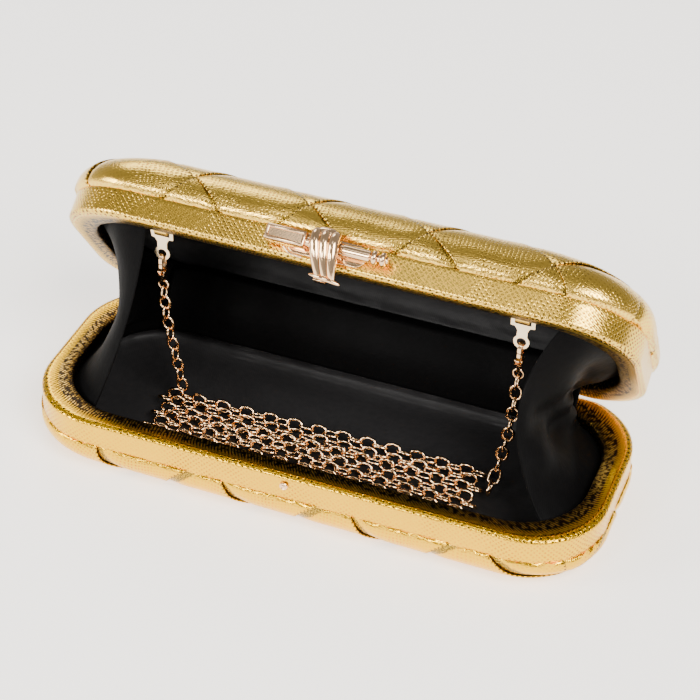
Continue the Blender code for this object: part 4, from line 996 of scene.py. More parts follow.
@dataclass
class WovenCover:
    """Wide leather strips woven on the slant over a half, over and under each other."""

    half: Half
    looks: Looks
    repeat: float = 40.5 * MM
    phase_fall: float = 27.1 * MM
    phase_rise: float = 27.3 * MM
    thickness: float = 0.55 * MM
    swing: float = 0.34 * MM
    crossing: float = 2.2 * MM
    under_shade_share: float = 1.6
    wall_bulge: float = 0.7 * MM
    tuck: float = 0.9 * MM
    tuck_height: float = 1.4 * MM
    edge_drop: float = 0.1 * MM
    bend_steps: int = 60
    along_step: float = 1.5 * MM
    half_run: float = 260 * MM
    last_strip: int = 9
    across_points: int = 17
    edge_gap: float = 0.35 * MM
    edge_curl: float = 0.2 * MM
    hollow: float = 1.6 * MM
    normal_step: float = 0.3 * MM
    sharp: float = 50.0
    backing_inset: float = 1.3 * MM
    backing_rise: float = 1.6 * MM
    backing_shares: tuple[float, ...] = (0.8, 0.55, 0.3, 0.1, 0.0)
    backing_waist: float = 0.55
    measured_station: int = 40
    profile: dict = field(init=False)

    def __post_init__(self) -> None:
        """Measures the outer surface once, from its flat side out to the rim band."""
        turns = np.linspace(math.pi / 2, 0.0, self.bend_steps)
        draw = 1 - np.cos(turns)
        wall = -self.wall_bulge
        in_x = np.append(wall + (FORM.floor_inset_x - wall) * draw, [wall, self.tuck])
        in_y = np.append(wall + (FORM.floor_inset_y - wall) * draw, [wall, self.tuck])
        beyond = FORM.bend_start + (FORM.height(self.half) - FORM.bend_start) * np.sin(turns)
        beyond = np.append(beyond, [FORM.band_height + self.tuck_height, FORM.band_height - self.edge_drop])
        front = walked_along(np.column_stack([in_y, beyond]))
        ends = walked_along(np.column_stack([in_x, beyond]))
        self.profile = {"x": in_x, "y": in_y, "z": beyond, "front": front, "ends": ends}

    def flat_corner(self) -> Triple:
        """Corner radius of the flat side and how far out its corners' centres stand.

        Returns:
            Radius, centre's x and centre's y.
        """
        radius = FORM.corner_radius - FORM.corner_shrink * FORM.floor_inset_y
        centre_x = FORM.half_length - FORM.floor_inset_x - radius
        return radius, centre_x, FORM.half_depth - FORM.floor_inset_y - radius

    def outward(self, a: np.ndarray, b: np.ndarray) -> tuple[np.ndarray, np.ndarray, np.ndarray]:
        """How far points of the unrolled cover lie outside its flat side.

        Args:
            a: Distance along the bag.
            b: Distance across it, the front negative.

        Returns:
            The distance outward, the longest there is in that direction, and the direction's angle.
        """
        radius, mid_x, mid_y = self.flat_corner()
        out_x = np.maximum(np.abs(a) - mid_x, 0.0)
        out_y = np.maximum(np.abs(b) - mid_y, 0.0)
        turn = np.arctan2(out_y, np.maximum(out_x, 1e-9))
        share = np.sin(turn) ** 2
        longest = self.profile["front"][-1] * share + self.profile["ends"][-1] * (1 - share)
        return np.hypot(out_x, out_y) - radius, longest, turn

    def surface(self, a: np.ndarray, b: np.ndarray) -> np.ndarray:
        """Where points of the unrolled cover lie on the bag.

        Args:
            a: Distance along the bag.
            b: Distance across it, the front negative.

        Returns:
            Points in the bag's frame.
        """
        mid_x, mid_y = self.flat_corner()[1:]
        out, longest, turn = self.outward(a, b)
        key = np.clip(out / longest, 0.0, 1.0) * self.profile["front"][-1]
        in_x, in_y, beyond = (np.interp(key, self.profile["front"], self.profile[name]) for name in "xyz")
        ring_radius = FORM.corner_radius - FORM.corner_shrink * in_y
        ring_x = FORM.half_length - in_x - ring_radius
        ring_y = FORM.half_depth - in_y - ring_radius
        side_run = ring_y - mid_y
        arc_run = ring_radius * math.pi / 2
        top_run = ring_x - mid_x
        walked = turn / (math.pi / 2) * (side_run + arc_run + top_run)
        on_arc = np.clip(walked - side_run, 0.0, arc_run) / ring_radius
        on_top = np.clip(walked - side_run - arc_run, 0.0, top_run)
        x = ring_x + ring_radius * np.cos(on_arc) - on_top
        y = mid_y + np.clip(walked, 0.0, side_run) + ring_radius * np.sin(on_arc)
        flat = out <= 0.0
        x = np.where(flat | (np.abs(a) < mid_x), np.abs(a), x) * np.sign(a)
        y = np.where(flat | (np.abs(b) < mid_y), np.abs(b), y) * np.sign(b)
        beyond = np.where(flat, FORM.height(self.half), beyond)
        return FORM.place(self.half, np.stack([x, y, beyond], axis=-1))

    def raised(self, a: np.ndarray, b: np.ndarray, rise: np.ndarray) -> np.ndarray:
        """Points of the unrolled cover, lifted off the surface along its normal.

        Args:
            a: Distance along the bag.
            b: Distance across it.
            rise: How far each is lifted outward.

        Returns:
            Points in the bag's frame.
        """
        step = self.normal_step
        along = self.surface(a + step, b) - self.surface(a - step, b)
        across = self.surface(a, b + step) - self.surface(a, b - step)
        normal = np.cross(along, across)
        normal /= np.linalg.norm(normal, axis=-1, keepdims=True) + TINY
        if self.half is Half.LOWER:
            normal = -normal
        return self.surface(a, b) + normal * rise[..., None]

    def strip(self, bm: BMesh, family: int, number: int) -> None:
        """Lays one strip of the weave.

        Args:
            bm: The mesh to add to.
            family: 0 for strips that fall to the right on the front, 1 for those that rise.
            number: Place of the strip in its family.
        """
        root = math.sqrt(2.0)
        width = self.repeat / root
        count = int(2 * self.half_run / self.along_step)
        along = np.linspace(-self.half_run, self.half_run, count)
        shares = np.sin(np.linspace(-math.pi / 2, math.pi / 2, self.across_points))
        own, other = (phase / root for phase in (self.phase_fall, self.phase_rise)[::1 - 2 * family])
        place = (along - other) / width
        cell = np.floor(place).astype(int)
        in_cell = (place - cell) * width
        above = (cell + number + family) % 2 == 0
        near = np.minimum(in_cell, width - in_cell) / self.crossing
        rise = np.where(above, self.swing, -self.swing) * np.sin(np.clip(near, 0, 1) * math.pi / 2)
        opened = np.where(above, np.sin(np.clip(in_cell / width, 0, 1) * math.pi) ** 2, 0.0)
        # Share of painted shade where the strip runs under the crossing one.
        under_shade = np.where(above, 0.0, np.clip(near * self.under_shade_share, 0, 1))
        half_width = width / 2 - self.edge_gap - self.hollow * opened
        across = shares * half_width[:, None]
        lifted = rise[:, None] + self.edge_curl * opened[:, None] * shares ** 4
        mark = under_shade[:, None] * np.ones_like(across)
        p = along[:, None] * np.ones_like(across)
        q = own + (number + 0.5) * width + across
        a, b = (q + p) / root, (q - p if family == 0 else p - q) / root
        out, longest, _ = self.outward(a, b)
        keep = out <= longest
        if not keep.any():
            return
        rows = np.where(keep.any(axis=1))[0]
        span = slice(max(rows[0] - 1, 0), min(rows[-1] + 2, count))
        points = self.raised(a[span], b[span], lifted[span])
        verts = lay_grid(bm, points, shares * width / 2, along[span], mark[span])
        lost = {verts[k] for k in np.where(~keep[span].ravel())[0]}
        faces = {f for v in lost for f in v.link_faces if all(x in lost for x in f.verts)}
        bmesh.ops.delete(bm, geom=sorted(faces, key=lambda f: f.index), context="FACES")

    def build(self) -> None:
        """Builds the woven cover and its dark backing."""
        bm = bmesh.new()
        bm.verts.layers.float.new("mark")
        for family in (0, 1):
            for number in range(-self.last_strip, self.last_strip + 1):
                self.strip(bm, family, number)
        item = finish_mesh(bm, f"{self.half.prefix}_leather_weave", self.looks.strips[self.half], self.sharp)
        thicken(item, self.thickness)
        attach(item, self.half.value)
        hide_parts(f"{self.half.prefix}_woven_cover")
        self.backing()

    def backing(self) -> None:
        """A dark sheet that shows between the strips, its colour painted shade for the gaps."""
        levels = bend_levels(self.backing_inset, self.backing_rise, FORM.height(self.half), FORM.band_height)
        points = FORM.place(self.half, half_rings(OUTLINE, levels, self.backing_shares, self.backing_waist))
        bm = bmesh.new()
        lay_grid(bm, points, OUTLINE.lengths(), walked_along(points[:, self.measured_station]))
        close_seams(bm)
        item = finish_mesh(bm, f"{self.half.prefix}_weave_backing", self.looks.gap_shade, self.sharp)
        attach(item, self.half.value)


@dataclass
class RimBand:
    """The padded leather band over a rim, from the outside face round to the inner lip."""

    half: Half
    looks: Looks
    skin: float = 1.8 * MM
    width: float = 8.6 * MM
    crown: float = 1.5 * MM
    dish: float = 0.7 * MM
    roll: float = 2.2 * MM
    lip: float = 8.0 * MM
    hem: float = 0.25 * MM
    hem_insets: Pair = (0.15 * MM, -0.05 * MM)
    roll_steps: int = 5
    edge_steps: int = 4
    inner_edge: float = 0.7 * MM
    wall_stations: tuple[float, ...] = (6.4, 4.8, 3.2, 1.6, 0.5)
    top_stations: tuple[float, ...] = (3.4, 4.8, 6.2, 7.4)
    lip_stations: tuple[float, ...] = (2.0, 4.0, 6.0)
    relief_apex: float = 1.0 * MM
    relief: float = math.radians(31.0)
    hinge_spacing: float = 110 * MM
    notch_half: float = 11.1 * MM
    notch_front: float = 2.3 * MM
    notch_depth: float = 2.8 * MM
    sharp: float = 60.0

    def section(self) -> list[Pair]:
        """The band's section, from its outer edge over the rim and back inside.

        Returns:
            Pairs of inset and height beyond the shoulder.
        """
        inner, drop = self.width - self.skin, self.skin - self.crown
        above, below = self.hem_insets
        points = [(above, FORM.band_height + self.hem), (below, FORM.band_height - self.hem)]
        points += [(0.0, height * MM) for height in self.wall_stations]
        for k in range(self.roll_steps + 1):
            turn = math.pi / 2 * k / self.roll_steps
            points.append((self.roll * (1 - math.cos(turn)), -self.crown * math.sin(turn)))
        slope = self.dish / (self.width - self.roll)
        for inset in self.top_stations:
            points.append((inset * MM, -self.crown + slope * (inset * MM - self.roll)))
        edge = self.inner_edge
        for k in range(self.edge_steps + 1):
            turn = math.pi / 2 * k / self.edge_steps
            depth = self.dish - self.crown + edge * (1 - math.cos(turn))
            points.append((self.width - edge + edge * math.sin(turn), depth))
        points += [(self.width, height * MM) for height in self.lip_stations]
        points += [(self.width, self.lip), (inner, self.lip), (inner, drop)]
        points += [(self.skin, drop), (self.skin, FORM.band_height)]
        return points + points[:1]

    def relieved(self, points: np.ndarray) -> np.ndarray:
        """Draws the back of the rim away from the hinge line, so that the lid can turn.

        Args:
            points: x, y and height beyond the shoulder.

        Returns:
            The changed points.
        """
        points = points.copy()
        axis = FORM.seam_gap / 2
        behind = points[..., 1] - (FORM.hinge_y - self.relief_apex)
        least = behind * math.tan(self.relief) - axis
        points[..., 2] = np.where(behind > 0, np.maximum(points[..., 2], least), points[..., 2])
        for side in (-1, 1):
            off = np.abs(points[..., 0] - side * self.hinge_spacing / 2)
            inside = (off < self.notch_half) & (points[..., 1] > FORM.hinge_y - self.notch_front)
            cut = np.maximum(points[..., 2], self.notch_depth - axis)
            points[..., 2] = np.where(inside, cut, points[..., 2])
        return points

    def build(self) -> None:
        """Builds the band."""
        section = self.section()
        rings = half_rings(OUTLINE, [Level(inset, inset, beyond) for inset, beyond in section], (), 1.0)
        bm = bmesh.new()
        points = FORM.place(self.half, self.relieved(rings))
        lay_grid(bm, points, OUTLINE.lengths(), walked_along(np.array(section)))
        close_seams(bm)
        item = finish_mesh(bm, f"{self.half.prefix}_rim_leather", self.looks.gold[self.half], self.sharp)
        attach(item, self.half.value)
        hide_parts(f"{self.half.prefix}_rim_band")


@dataclass(frozen=True)
class Creases:
    """Soft creases of a cloth that run in several directions."""

    seed: float
    pitch: float
    directions: int = 4
    seed_turn: float = 1.7
    turn_step: float = 1.13
    widening: float = 0.37
    bend: float = 2.1
    bend_length: float = 2.3

    def height(self, x: np.ndarray, y: np.ndarray) -> np.ndarray:
        """How high the cloth stands at places on it.

        Args:
            x: First coordinate on the cloth.
            y: Second coordinate on the cloth.

        Returns:
            Height from 0 to 1.
        """
        total = np.zeros_like(x)
        for k in range(self.directions):
            turn = self.seed * self.seed_turn + k * self.turn_step
            across = (x * math.cos(turn) + y * math.sin(turn)) / self.pitch
            along = (y * math.cos(turn) - x * math.sin(turn)) / self.pitch
            swerve = self.bend * np.sin(along / self.bend_length) + self.seed * k
            wave = np.sin(across * math.tau / (1 + self.widening * k) + swerve)
            total += (1 - np.abs(wave)) ** 3
        return total / self.directions


def pushed(points: np.ndarray, amount: np.ndarray, towards: np.ndarray) -> np.ndarray:
    """Moves a grid of points along its normals.

    Args:
        points: Array of rows, columns and x, y, z.
        amount: How far each moves.
        towards: A point on the side that they move to.

    Returns:
        The moved points.
    """
    normal = np.cross(np.gradient(points, axis=1), np.gradient(points, axis=0))
    normal /= np.maximum(np.linalg.norm(normal, axis=-1, keepdims=True), TINY)
    facing = np.sum(normal * (towards - points), axis=-1, keepdims=True)
    return points + normal * np.sign(facing) * amount[..., None]


def lay_cloth(name: str, points: np.ndarray, look: bpy.types.Material,
              thickness: float) -> tuple[bpy.types.Object, float]:
    """A cloth surface through a grid of points, with its UV in metres.

    Args:
        name: Name of the object.
        points: Array of rows, columns and x, y, z.
        look: Its material.
        thickness: Its thickness.

    Returns:
        The object and the area of the cloth.
    """
    across = np.linalg.norm(np.diff(points, axis=1), axis=-1).mean(axis=0)
    down = np.linalg.norm(np.diff(points, axis=0), axis=-1).mean(axis=1)
    u, v = (np.concatenate([[0.0], np.cumsum(steps)]) for steps in (across, down))
    bm = bmesh.new()
    lay_grid(bm, points, u, v)
    close_seams(bm)
    area = sum(face.calc_area() for face in bm.faces)
    item = finish_mesh(bm, name, look)
    thicken(item, thickness)
    log.info("%s: %.0f square centimetres", name, area * 1e4)
    return item, area


@dataclass
class Lining:
    """The satin lining of a half, eased into its tray in one piece."""

    half: Half
    looks: Looks
    outline: Outline = Outline(back_steps=28, end_steps=12, front_steps=60, corner_steps=22)
    bend_steps: int = 22
    flat_steps: int = 14
    waist: float = 0.62
    wall_inset: float = 7.0 * MM
    floor_rise: float = 4.55 * MM
    start: float = 8.0 * MM
    thickness: float = 0.35 * MM
    crease_pitch: float = 21 * MM
    crease_depth: float = 0.9 * MM
    lower_seed: float = 1.0
    lid_seed: float = 2.6
    floor_margin: float = 1.5 * MM
    floor_crease_depth: float = 0.2 * MM
    flat: Pair = (246 * MM, 118 * MM)

    def build(self) -> None:
        """Builds the lining, flatter where the chain lies on it."""
        height = FORM.height(self.half)
        levels = bend_levels(self.wall_inset, self.floor_rise, height, self.start, self.bend_steps)
        shares = 1 - np.arange(1, self.flat_steps + 1) / self.flat_steps
        rings = half_rings(self.outline, levels, shares, self.waist)
        depth = np.full(rings.shape[:2], self.crease_depth)
        seed = self.lid_seed
        if self.half is Half.LOWER:
            seed = self.lower_seed
            floor = rings[..., 2] > height - self.floor_rise - self.floor_margin
            depth = np.where(floor, self.floor_crease_depth, depth)
        depth[[0, 1, -1]] = 0.0
        folds = Creases(seed, self.crease_pitch)
        rise = depth * folds.height(rings[..., 0], rings[..., 1] + rings[..., 2])
        middle = FORM.place(self.half, np.array([0.0, 0.0, 0.0]))
        points = pushed(FORM.place(self.half, rings), rise, middle)
        item, area = lay_cloth(f"{self.half.prefix}_satin_lining", points, self.looks.satin, self.thickness)
        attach(item, self.half.value)
        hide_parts(f"{self.half.prefix}_lining")


@dataclass
class GussetCloth:
    """A cloth gusset held along the inner lips round an end of the bag and folded in between them."""

    name: str
    side: int
    lower_turn: float
    lid_turn: float
    tuck: float
    bowl: float
    fold: float
    held: str
    looks: Looks
    flat: Pair
    fine_share: float = 0.35
    front_power: float = 0.6
    lip_power: float = 0.9
    slant_waves: Triple = (1.7, 1.3, 0.15)
    fine_waves: Pair = (3.6, -2.1)
    thickness: float = 0.35 * MM
    inset: float = 9.0 * MM
    lip_depth: float = 3.0 * MM
    hem_depth: float = 8.2 * MM
    back_x: float = 71.2 * MM
    columns: int = 72
    rows_inside: int = 4
    rows_between: int = 64

    def along_lip(self, first_turn: float, share: float) -> Pair:
        """A place on the inner lip, round the end of the bag from its front to its hinge side.

        Args:
            first_turn: Where round the front corner the cloth starts, in degrees.
            share: 0 where it starts and 1 at the hinge side.

        Returns:
            x and y of the place.
        """
        radius = FORM.corner_radius - FORM.corner_shrink * self.inset
        mid_x = FORM.half_length - self.inset - radius
        mid_y = FORM.half_depth - self.inset - radius
        last_turn = 90.0 + math.degrees(math.acos((self.back_x - mid_x) / radius))
        arc = math.radians(90.0 - first_turn) * radius
        back_arc = math.radians(last_turn - 90.0) * radius
        walked = share * (arc + 2 * mid_y + back_arc)
        if walked < arc:
            turn = math.radians(first_turn) + walked / radius
            return mid_x + radius * math.sin(turn), -mid_y - radius * math.cos(turn)
        if walked < arc + 2 * mid_y:
            return mid_x + radius, -mid_y + walked - arc
        turn = (walked - arc - 2 * mid_y) / radius
        return mid_x + radius * math.cos(turn), mid_y + radius * math.sin(turn)

    def line(self, share: float) -> np.ndarray:
        """The four points that one line of the gusset passes.

        Args:
            share: 0 at its front edge and 1 at the hinge side.

        Returns:
            Lower hem, lower lip, lid's lip and lid's hem.
        """
        low_x, low_y = self.along_lip(self.lower_turn, share)
        high_x, high_y = self.along_lip(self.lid_turn, share)
        low = [[self.side * low_x, low_y, depth] for depth in (self.hem_depth, self.lip_depth)]
        high = [[self.side * high_x, high_y, depth] for depth in (self.lip_depth, self.hem_depth)]
        return np.concatenate([FORM.place(Half.LOWER, np.array(low)), FORM.place(Half.LID, np.array(high))])

    def hang(self, u: float, v: np.ndarray) -> np.ndarray:
        """How far the cloth hangs in towards the middle of the bag.

        Args:
            u: 0 at the front edge and 1 at the hinge side.
            v: 0 at the lower lip and 1 at the lid's.

        Returns:
            Distance for each v.
        """
        deepest = self.tuck * (1 - u) ** self.front_power + self.bowl * math.sin(math.pi * u)
        slack = deepest * np.sin(math.pi * v) ** self.lip_power
        inner = np.sin(math.pi * v) * 4 * u * (1 - u)
        over_v, over_u, start = self.slant_waves
        slant = np.sin(math.tau * (over_v * v + over_u * u + start))
        over_v, over_u = self.fine_waves
        fine = np.sin(math.tau * (over_v * v + over_u * u)) * self.fine_share
        return slack + np.sqrt(np.clip(inner, 0, 1)) * (slant + fine) * self.fold

    def build(self) -> None:
        """Builds the gusset."""
        inside = np.linspace(0.0, 1.0, self.rows_inside, endpoint=False)[:, None]
        between = np.linspace(0.0, 1.0, self.rows_between, endpoint=False)
        beyond = np.linspace(0.0, 1.0, self.rows_inside)[:, None]
        columns = []
        for u in np.linspace(0.0, 1.0, self.columns):
            low, low_lip, high_lip, high = self.line(float(u))
            middle = low_lip + (high_lip - low_lip) * between[:, None]
            middle[:, 0] -= self.side * self.hang(float(u), between)
            rows = (low + (low_lip - low) * inside, middle, high_lip + (high - high_lip) * beyond)
            columns.append(np.concatenate(rows))
        points = np.stack(columns, axis=1)
        # Satin darkened as painted shade.
        item, area = lay_cloth(f"satin_{self.name}", points, self.looks.shade_painted_satin, self.thickness)
        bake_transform(item)
        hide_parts(self.name)


@dataclass
class BackCloth:
    """The satin strip that covers the hinges inside and joins the two linings."""

    looks: Looks
    half_length: float = 76.5 * MM
    straight: float = 66.0 * MM
    end_radius: float = 24.0 * MM
    thickness: float = 0.35 * MM
    wall_y: float = 32.3 * MM
    front_y: float = 29.2 * MM
    depths: Pair = (9.4 * MM, 6.5 * MM)
    belly: float = 2.2 * MM
    crease_depth: float = 0.35 * MM
    crease_pitch: float = 26 * MM
    crease_seed: float = 3.9
    crease_stretch: float = 0.6
    columns: int = 110
    rows_between: int = 26
    rows_inside: int = 6
    flat: Pair = (155 * MM, 32 * MM)

    def build(self) -> None:
        """Builds the strip."""
        deep, near = self.depths
        marks = np.array([[0.0, self.wall_y, deep], [0.0, self.front_y, near]])
        below = FORM.place(Half.LOWER, marks)
        above = FORM.place(Half.LID, marks[::-1])
        between = np.linspace(0.0, 1.0, self.rows_between)
        middle = below[1] + (above[0] - below[1]) * between[:, None]
        middle[:, 1] -= self.belly * np.sin(math.pi * between)
        tuck = np.linspace(0.0, 1.0, self.rows_inside, endpoint=False)[:, None]
        lower_tuck = below[0] + (below[1] - below[0]) * tuck
        line = np.concatenate([lower_tuck, middle, above[1] + (above[0] - above[1]) * tuck[::-1]])
        x = np.linspace(-self.half_length, self.half_length, self.columns)
        points = np.repeat(line[:, None, :], len(x), axis=1)
        points[..., 0] = x[None, :]
        rows = np.linspace(0.0, 1.0, len(line))[:, None]
        upright = points[..., 2] * self.crease_stretch
        folds = Creases(self.crease_seed, self.crease_pitch).height(points[..., 0], upright)
        depth = self.crease_depth * np.sin(math.pi * rows) * folds
        past = np.clip(np.abs(points[..., 0]) - self.straight, 0.0, None)
        points[..., 1] -= depth + self.end_radius - np.sqrt(self.end_radius ** 2 - past ** 2)
        # Satin darkened as painted shade.
        item, area = lay_cloth("satin_back_lining", points, self.looks.shade_painted_satin, self.thickness)
        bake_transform(item)
        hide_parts("back_lining")


def round_edges(bm: BMesh, edges: list, size: float, steps: int, **options: bool) -> None:
    """Rounds edges of a mesh: each is cut back by the size and gets some steps of faces."""
    bmesh.ops.bevel(bm, geom=edges, offset=size, segments=steps, profile=0.5, affect="EDGES", material=-1,
                    **options)


def along_curve(points: np.ndarray, count: int) -> np.ndarray:
    """Points at equal parameter along a smooth curve through the given ones.

    Args:
        points: The points that the curve passes.
        count: How many points are wanted.

    Returns:
        The points of the curve.
    """
    ends = np.concatenate([[2 * points[0] - points[1]], points, [2 * points[-1] - points[-2]]])
    place = np.linspace(0.0, len(points) - 1, count)
    k = np.minimum(place.astype(int), len(points) - 2)
    t = (place - k)[:, None]
    a, b, c, d = ends[k], ends[k + 1], ends[k + 2], ends[k + 3]
    cubic = (2 * a - 5 * b + 4 * c - d) * t ** 2 + (3 * b - a - 3 * c + d) * t ** 3
    return 0.5 * (2 * b + (c - a) * t + cubic)


def sweep_tube(bm: BMesh, path: np.ndarray, across: np.ndarray, deep: np.ndarray,
               side: Triple, sides: int) -> None:
    """Adds a closed tube with an oval section along a path.

    Args:
        bm: The mesh to add to.
        path: The middle line.
        across: Half width at each point, measured along the side direction.
        deep: Half depth at each point.
        side: Direction of the width.
        sides: Corners of the section.
    """
    path = np.concatenate([path[:1], path, path[-1:]])
    across = np.concatenate([[0.0], across, [0.0]])
    deep = np.concatenate([[0.0], deep, [0.0]])
    ahead = np.gradient(path, axis=0)
    ahead[0], ahead[-1] = ahead[1], ahead[-2]
    ahead /= np.linalg.norm(ahead, axis=1, keepdims=True)
    wide = side - ahead * (ahead @ side)[:, None]
    wide /= np.linalg.norm(wide, axis=1, keepdims=True)
    thick = np.cross(ahead, wide)
    turn = np.linspace(0.0, 2 * math.pi, sides + 1)
    points = path[:, None] + wide[:, None] * (np.cos(turn)[None, :] * across[:, None])[..., None]
    points = points + thick[:, None] * (np.sin(turn)[None, :] * deep[:, None])[..., None]
    lay_grid(bm, points, turn * float(across.max()), walked_along(path))


def turn_profile(bm: BMesh, profile: list[Pair], closed: bool,
                 sides: int = 28) -> None:
    """Adds a body turned about the X axis.

    Args:
        bm: The mesh to add to.
        profile: Pairs of distance along the axis and radius.
        closed: Whether the profile is a ring and not a rod.
        sides: Steps round.
    """
    rows = profile + profile[:1] if closed else [(profile[0][0], 0.0), *profile, (profile[-1][0], 0.0)]
    turn = np.linspace(0.0, 2 * math.pi, sides + 1)
    points = np.array([[(x, r * math.cos(t), r * math.sin(t)) for t in turn] for x, r in rows])
    lay_grid(bm, points, turn, np.arange(len(rows), dtype=float))


def rounded_ring(start: float, width: float, bore: float, radius: float,
                 steps: int = 8) -> list[Pair]:
    """Profile of a ring whose outside is a half round.

    Args:
        start: Where it starts along the line.
        width: Its width.
        bore: Radius of its hole.
        radius: Its outer radius.
        steps: Steps of the half round.

    Returns:
        Pairs of distance and radius.
    """
    bulge = min(width / 2, radius - bore)
    points = [(start, bore)]
    for step in range(steps + 1):
        turn = math.pi * step / steps
        points.append((start + width / 2 * (1 - math.cos(turn)), radius - bulge + bulge * math.sin(turn)))
    return points + [(start + width, bore)]


@dataclass
class ChainWork:
    """The cable chain: rows laid on the floor of the bag and the runs that hang from the clasps."""

    looks: Looks
    template: bpy.types.Mesh | None = None
    wire: float = 1.05 * MM
    length: float = 6.4 * MM
    width: float = 4.9 * MM
    overlap: float = 0.16 * MM
    lean: float = math.radians(64.0)
    lean_spread: float = math.radians(13.0)
    yaw_spread: float = math.radians(7.0)
    row_pitch: float = 4.072 * MM
    row_links: int = 26
    row_shifts: tuple[float, ...] = (0.4, -1.9, 1.3, -0.6, 2.1, -1.4, 0.9)
    back_row_y: float = 1.63 * MM
    row_centre_x: float = -4.0 * MM
    row_sway: float = 0.45 * MM
    sway_step: float = 0.21
    floor: float = 5.1 * MM
    clearance: float = 0.3 * MM
    round_steps: int = 12
    wire_sides: int = 5
    tab_x: float = 62.5 * MM
    tab_rise: Pair = (-29.1 * MM, 3.0 * MM)
    run_fall: float = 22.975 * MM
    left_end: Pair = (-57.4 * MM, 11.5 * MM)
    right_heights: Pair = (15.12 * MM, 8.95 * MM)
    right_shifts: Pair = (0.55, 0.1)
    right_reach: float = 1.6
    run_keep: float = 0.07
    run_steps: int = 240
    seed: int = 7

    @property
    def pitch(self) -> float:
        """Distance from link to link."""
        return self.length - 2 * self.wire + self.overlap

    def __post_init__(self) -> None:
        """Shapes one link that all others are copies of: a spun ring drawn out to an oval."""
        half_wide = (self.width - self.wire) / 2
        straight = (self.length - self.width) / 2
        bm = bmesh.new()
        place = Matrix.Translation((0.0, half_wide, 0.0)) @ Matrix.Rotation(math.pi / 2, 4, "Y")
        bmesh.ops.create_circle(bm, radius=self.wire / 2, segments=self.wire_sides, matrix=place)
        bmesh.ops.spin(bm, geom=bm.edges[:], cent=(0.0, 0.0, 0.0), axis=(0.0, 0.0, 1.0), angle=2 * math.pi,
                       steps=self.round_steps, use_merge=True)
        for side in (-1, 1):
            end = [v for v in bm.verts if v.co.x * side > self.wire / 20]
            bmesh.ops.translate(bm, verts=end, vec=(side * straight, 0.0, 0.0))
        bmesh.ops.recalc_face_normals(bm, faces=bm.faces)
        self.template = bpy.data.meshes.new("chain_link")
        bm.to_mesh(self.template)
        bm.free()

    def link(self, bm: BMesh, centre: Vector, along: Vector, across: Vector) -> None:
        """One oval link.

        Args:
            bm: The mesh to add to.
            centre: Middle of the link.
            along: Unit direction of its length.
            across: Unit direction of its width.
        """
        count = len(bm.verts)
        bm.from_mesh(self.template)
        bm.verts.ensure_lookup_table()
        axes = Matrix((along, across, along.cross(across))).transposed().to_4x4()
        bmesh.ops.transform(bm, matrix=Matrix.Translation(centre) @ axes, verts=bm.verts[count:])

    def show(self, bm: BMesh, name: str, body: str, node: str) -> bpy.types.Object:
        """Finishes a length of chain.

        Args:
            bm: Its links.
            name: Its name.
            body: The body that it rides on.
            node: The node that it stands for.

        Returns:
            The chain.
        """
        item = finish_mesh(bm, name, self.looks.rose)
        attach(item, body)
        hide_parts(node)
        return item

    def rows(self) -> None:
        """The strap's chain laid to and fro, each link leaning a little differently."""
        chance = np.random.default_rng(self.seed)
        reach = (self.width - self.wire) / 2
        for row, shift in enumerate(self.row_shifts):
            bm = bmesh.new()
            start = self.row_centre_x - (self.row_links - 1) * self.pitch / 2 + shift * MM
            sway_turn = chance.uniform(0.0, 2 * math.pi)
            for number in range(self.row_links):
                lean = self.lean + self.lean_spread * chance.uniform(-1.0, 1.0)
                if (number + row) % 2:
                    lean -= math.pi / 2
                yaw = self.yaw_spread * chance.uniform(-1.0, 1.0)
                x = start + number * self.pitch
                sway = self.row_sway * math.sin(self.sway_step * number + sway_turn)
                y = self.back_row_y - row * self.row_pitch + sway
                z = self.floor + self.clearance + reach * math.sin(abs(self.lean)) + self.wire / 2
                along = Vector((math.cos(yaw), math.sin(yaw), 0.0))
                flat = Vector((-math.sin(yaw), math.cos(yaw), 0.0))
                across = flat * math.cos(lean) + Vector((0.0, 0.0, math.sin(lean)))
                self.link(bm, Vector((x, y, z)), along, across)
            self.show(bm, f"laid_chain_{row + 1}", Half.LOWER.value, f"chain_row_{row + 1}")

    def run_route(self, side: int) -> np.ndarray:
        """The line that a hanging run follows from its jump ring to the laid rows.

        Args:
            side: -1 for the left run and 1 for the right one.

        Returns:
            Fine points along it.
        """
        y, z = self.tab_rise
        pivot = FORM.lid_to_row(np.array([side * self.tab_x, y - FORM.hinge_y, z]))
        start = pivot - np.array([0.0, 0.0, self.run_fall])
        if side < 0:
            end = np.array([self.left_end[0], start[1] + self.width / 2, self.left_end[1]])
            middle = (start * 2 + end) / 3 - np.array([self.wire, 0.0, 0.0])
            return along_curve(np.array([start, middle, end]), self.run_steps)
        low = start - np.array([self.right_shifts[0] * self.length, self.wire, 0.0])
        low[2] = self.right_heights[0]
        middle = (start + low) / 2 + np.array([self.wire, 0.0, 0.0])
        end = low - self.length * np.array([self.right_shifts[1], self.right_reach, 0.0])
        end[2] = self.right_heights[1]
        return along_curve(np.array([start, middle, low, end]), self.run_steps)

    def run(self, side: int, name: str) -> None:
        """One hanging run.

        Args:
            side: -1 for the left run and 1 for the right one.
            name: The side's name.
        """
        route = self.run_route(side)
        walked = walked_along(route)
        bm = bmesh.new()
        places = np.arange((self.length - self.wire) / 2, walked[-1], self.pitch)
        for number, place in enumerate(places):
            k = min(int(np.searchsorted(walked, place)), len(route) - 1)
            along = Vector(route[k] - route[k - 1]).normalized()
            flat = along.cross(Vector((1.0, 0.0, 0.0))).normalized()
            across = flat if number % 2 == 0 else along.cross(flat)
            share = (place - walked[k - 1]) / (walked[k] - walked[k - 1])
            self.link(bm, Vector(route[k - 1] + (route[k] - route[k - 1]) * share), along, across)
        item = self.show(bm, f"hanging_chain_{name}", f"clasp_{name}", f"chain_run_{name}")
        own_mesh(item)

    def build(self) -> None:
        """Builds the chain."""
        self.rows()
        self.run(-1, "left")
        self.run(1, "right")


